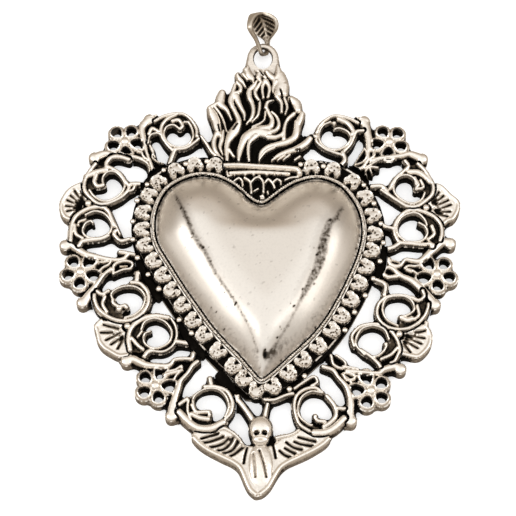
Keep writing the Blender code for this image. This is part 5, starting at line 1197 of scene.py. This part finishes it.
bail_route = flowing(BAIL_PATH, True, 0.12)[:-1]
bail_points, bail_soot = [], []
for k, (a, b, wide) in enumerate(bail_route):
    ahead, behind = bail_route[(k + 1) % len(bail_route)], bail_route[k - 1]
    tangent = Vector((ahead[0] - behind[0], ahead[1] - behind[1])).normalized()
    leaf = soften(wide, 0.8, 1.4) * soften(a, 0.2, 1.0)
    section = []
    for s in ENGRAVED_FACE:
        vein = max(0, math.sin(VEIN_PITCH * (b + abs(s) * wide * 0.8)))
        rim = 0.10 * math.exp(-((abs(s) - 0.88) / 0.07) ** 2)
        midrib = 0.12 * math.exp(-(s / 0.08) ** 2)
        engraved = (0.07 * vein - 0.12) * soften(0.8 - abs(s), 0, 0.12)
        section.append((half_thickness(s) + leaf * (rim + midrib + engraved), s * wide))
        black = soften(0.84 - abs(s), 0, 0.1) * (1 - 0.8 * vein) * (1 - math.exp(-(s / 0.1) ** 2))
        bail_soot.append(0.4 * (1 - leaf) + 0.1 + 0.72 * leaf * black)
    section += [(-half_thickness(s), s * wide) for s in UNDERSIDE]
    bail_soot += [0.08] * len(UNDERSIDE)
    bail_points += [(a - tangent.y * t, b + tangent.x * t, w) for t, w in section]
around, bail_faces = len(ENGRAVED_FACE) + len(UNDERSIDE), []
for k in range(len(bail_route)):
    for m in range(around):
        n, after = (m + 1) % around, (k + 1) % len(bail_route)
        bail_faces.append((k * around + m, after * around + m, after * around + n, k * around + n))
bail_mesh = bpy.data.meshes.new("bail_strap")
bail_mesh.from_pydata([tuple(v * MM for v in p) for p in bail_points], [], bail_faces)
seat = math.radians(BAIL_SEAT)
hinge = Vector((EYELET_X + EYELET_RX * math.cos(seat), EYELET_Y + EYELET_RY * math.sin(seat),
                EYELET_Z)) * MM
bail_mesh.transform(Matrix.Translation(hinge) @ Matrix.Rotation(math.radians(BAIL_LEAN), 4, "Z")
                    @ Matrix.Rotation(math.radians(BAIL_NOSE), 4, "X")
                    @ Matrix.Rotation(math.radians(BAIL_TILT), 4, "Y")
                    @ Matrix.Translation(-Vector((*BAIL_CROSSING, 0)) * MM))
bail_mesh.update()
if sum(p.normal.dot(p.center - hinge) * p.area for p in bail_mesh.polygons) < 0:
    bail_mesh.flip_normals()
bail_mesh.shade_smooth()
bail_mesh.set_sharp_from_angle(angle=math.radians(60))
bail_silver = silver_material("antique_bail_silver", (0.62, 0.55, 0.46), 0.3, 0.5, 0.4)
dress("bail_strap", bail_mesh, bail_silver, ("bail",), "bail")

# Blackening
# The finished pendant is dipped in liver of sulphur and polished: the black stays in grooves,
# openings and pits, turns brown on slopes, and is rubbed off everything that stands out. On top of
# the patina, walls get painted shade, darker the more closed in they are, and the dome gets painted
# dark reflections on its shoulders and along its foot.
# The dome's two dark shoulder lines: painted dark reflections with scratches in them. Each row
# gives half widths along the line, the spread of its soft edge and its x, y points.
SCUFF_AND_REFLECTION_LINES = [
    ((0.15, 0.38, 0.36, 0.26, 0.16, 0.08, 0.05), 0.9, [-12.9, 10.3, -12.2, 8.5, -11, 5.5, -10, 3,
     -9, 1, -8, -0.5, -7, -2.7, -6, -4.5, -4.5, -6.8, -3, -9.2, -1.8, -11.5, -0.8, -13.7,
     0, -15.8]),
    ((0.2, 0.55, 0.75, 0.5, 0.15, 0.08, 0.1), 1.5, [13, 7.8, 12, 5.5, 11, 4.5, 10.2, 2, 9.8, 0,
     9, -3, 8.2, -4.5, 7, -7, 6, -9, 5, -11, 4, -12.8, 3, -14.3, 1.5, -16.3])]


def sampled(mesh):
    """The mesh's points in mm, with the row and the column of the grid nearest to each."""
    co = np.empty(len(mesh.vertices) * 3, np.float32)
    mesh.vertices.foreach_get("co", co)
    co = co.reshape(-1, 3) / MM
    column = np.clip(np.rint((co[:, 0] - ORIGIN[0]) / CELL).astype(int), 0, ACROSS - 1)
    row = np.clip(np.rint((co[:, 1] - ORIGIN[1]) / CELL).astype(int), 0, UP - 1)
    return co, row, column


scene_height = np.where(inward > DOME_EDGE, pillow, 0)
for piece in finished:
    if piece.name not in ("bail_strap", "bezel_grains"):
        co, row, column = sampled(piece.data)
        np.maximum.at(scene_height, (row, column), co[:, 2])
fine, broad = (blurred(np.minimum(scene_height, 2.6), spread) for spread in (0.18, 0.55))
# Open air round the pendant's outline, which lightens the painted shade of the outer walls and low
# ground.
open_air = blurred((scene_height > 0.5).astype(float), 0.9)[::4, ::4] < 0.3
outer_air = np.kron(without_crumbs(open_air, open_air.sum() // 3), np.ones((4, 4)))[:UP, :ACROSS]
outer_air = np.clip(blurred(outer_air, 0.8) * 3.2, 0, 1)
scuffs_and_dark_reflections = np.zeros((UP, ACROSS))
# Painted dark reflections down the dome's shoulders, with scratches in them.
for widths, halo, flat in SCUFF_AND_REFLECTION_LINES:
    view, depth, _ = trace(flowing(stroke(widths, flat)), 1.8)
    scuffs_and_dark_reflections[view] = np.maximum(scuffs_and_dark_reflections[view], 0.5 * soften(depth, -halo, 0.2)
                               + 0.4 * soften(depth, -0.45, 0.35))
spots = blurred(chance.random((UP, ACROSS)), 0.12)
spots = (spots - spots.mean()) / spots.std()


def dome_painted_shade_and_flaws(co, row, column):
    """The two dark shoulder lines (painted dark reflections with scratches), the painted dark
    reflection along the foot, the flaw and scattered specks.
    """
    speck = spots[row, column]
    patina_and_shade = scuffs_and_dark_reflections[row, column] * (0.58 + 0.04 * np.clip(speck, -2, 2)
                                   + 0.2 * soften(speck, 1.2, 2.0))
    # Painted dark reflection along the dome's foot, wider towards the tip.
    foot_reflection_width = 0.6 + 1.3 * soften(4 - co[:, 1], 0, 16)
    patina_and_shade += (0.38 * soften(foot_reflection_width - foot_distance[row, column], -0.5, 0.6)
             * (0.7 + 0.3 * soften(speck, -1.5, 1.5)))
    return patina_and_shade + 0.9 * flaw_at(co[:, 0], co[:, 1]) + 0.42 * soften(speck, 2.0, 2.8)


def casting_patina_and_shade(name, co, row, column):
    """Patina black on low ground, in dips and nicks; painted shade on the walls, near black in the
    openings and lighter on the outermost ones, and low ground lighter out in the open.
    """
    z = co[:, 2]
    low = soften(1.85 - z, 0.0, 0.5)
    dip = soften(broad[row, column] - z, -0.15, 0.55)
    nick = soften(fine[row, column] - z, 0.03, 0.3)
    # How open the spot is: walls and low ground out in the open get less painted shade than those
    # closed in.
    outside = soften(outer_air[row, column], 0.25, 0.8)
    patina_and_shade = np.clip(0.9 * low + 0.6 * dip + 0.8 * nick, 0, 1) * (1 - 0.5 * outside * low)
    patina_and_shade = np.clip(patina_and_shade + tarnish[row, column], 0, 1)
    # Walls: painted shade, near black inside the openings and lighter on the outermost walls.
    wall = z < 0.05
    wall[lip_starts.get(name, len(wall)):] = True
    patina_and_shade[wall] = 0.95 - 0.5 * outside[wall]
    return patina_and_shade


# Each piece gets its patina and painted shade as one point attribute.
for piece in finished:
    if piece.name == "bail_strap":
        patina_and_shade = np.array(bail_soot)
    elif piece.name == "polished_heart":
        patina_and_shade = dome_painted_shade_and_flaws(*sampled(piece.data))
    else:
        patina_and_shade = casting_patina_and_shade(piece.name, *sampled(piece.data))
    layer = piece.data.attributes.new("patina_and_shade", "FLOAT", "POINT")
    layer.data.foreach_set("value", np.clip(patina_and_shade, 0, 1).astype(np.float32))
    piece.data.update()
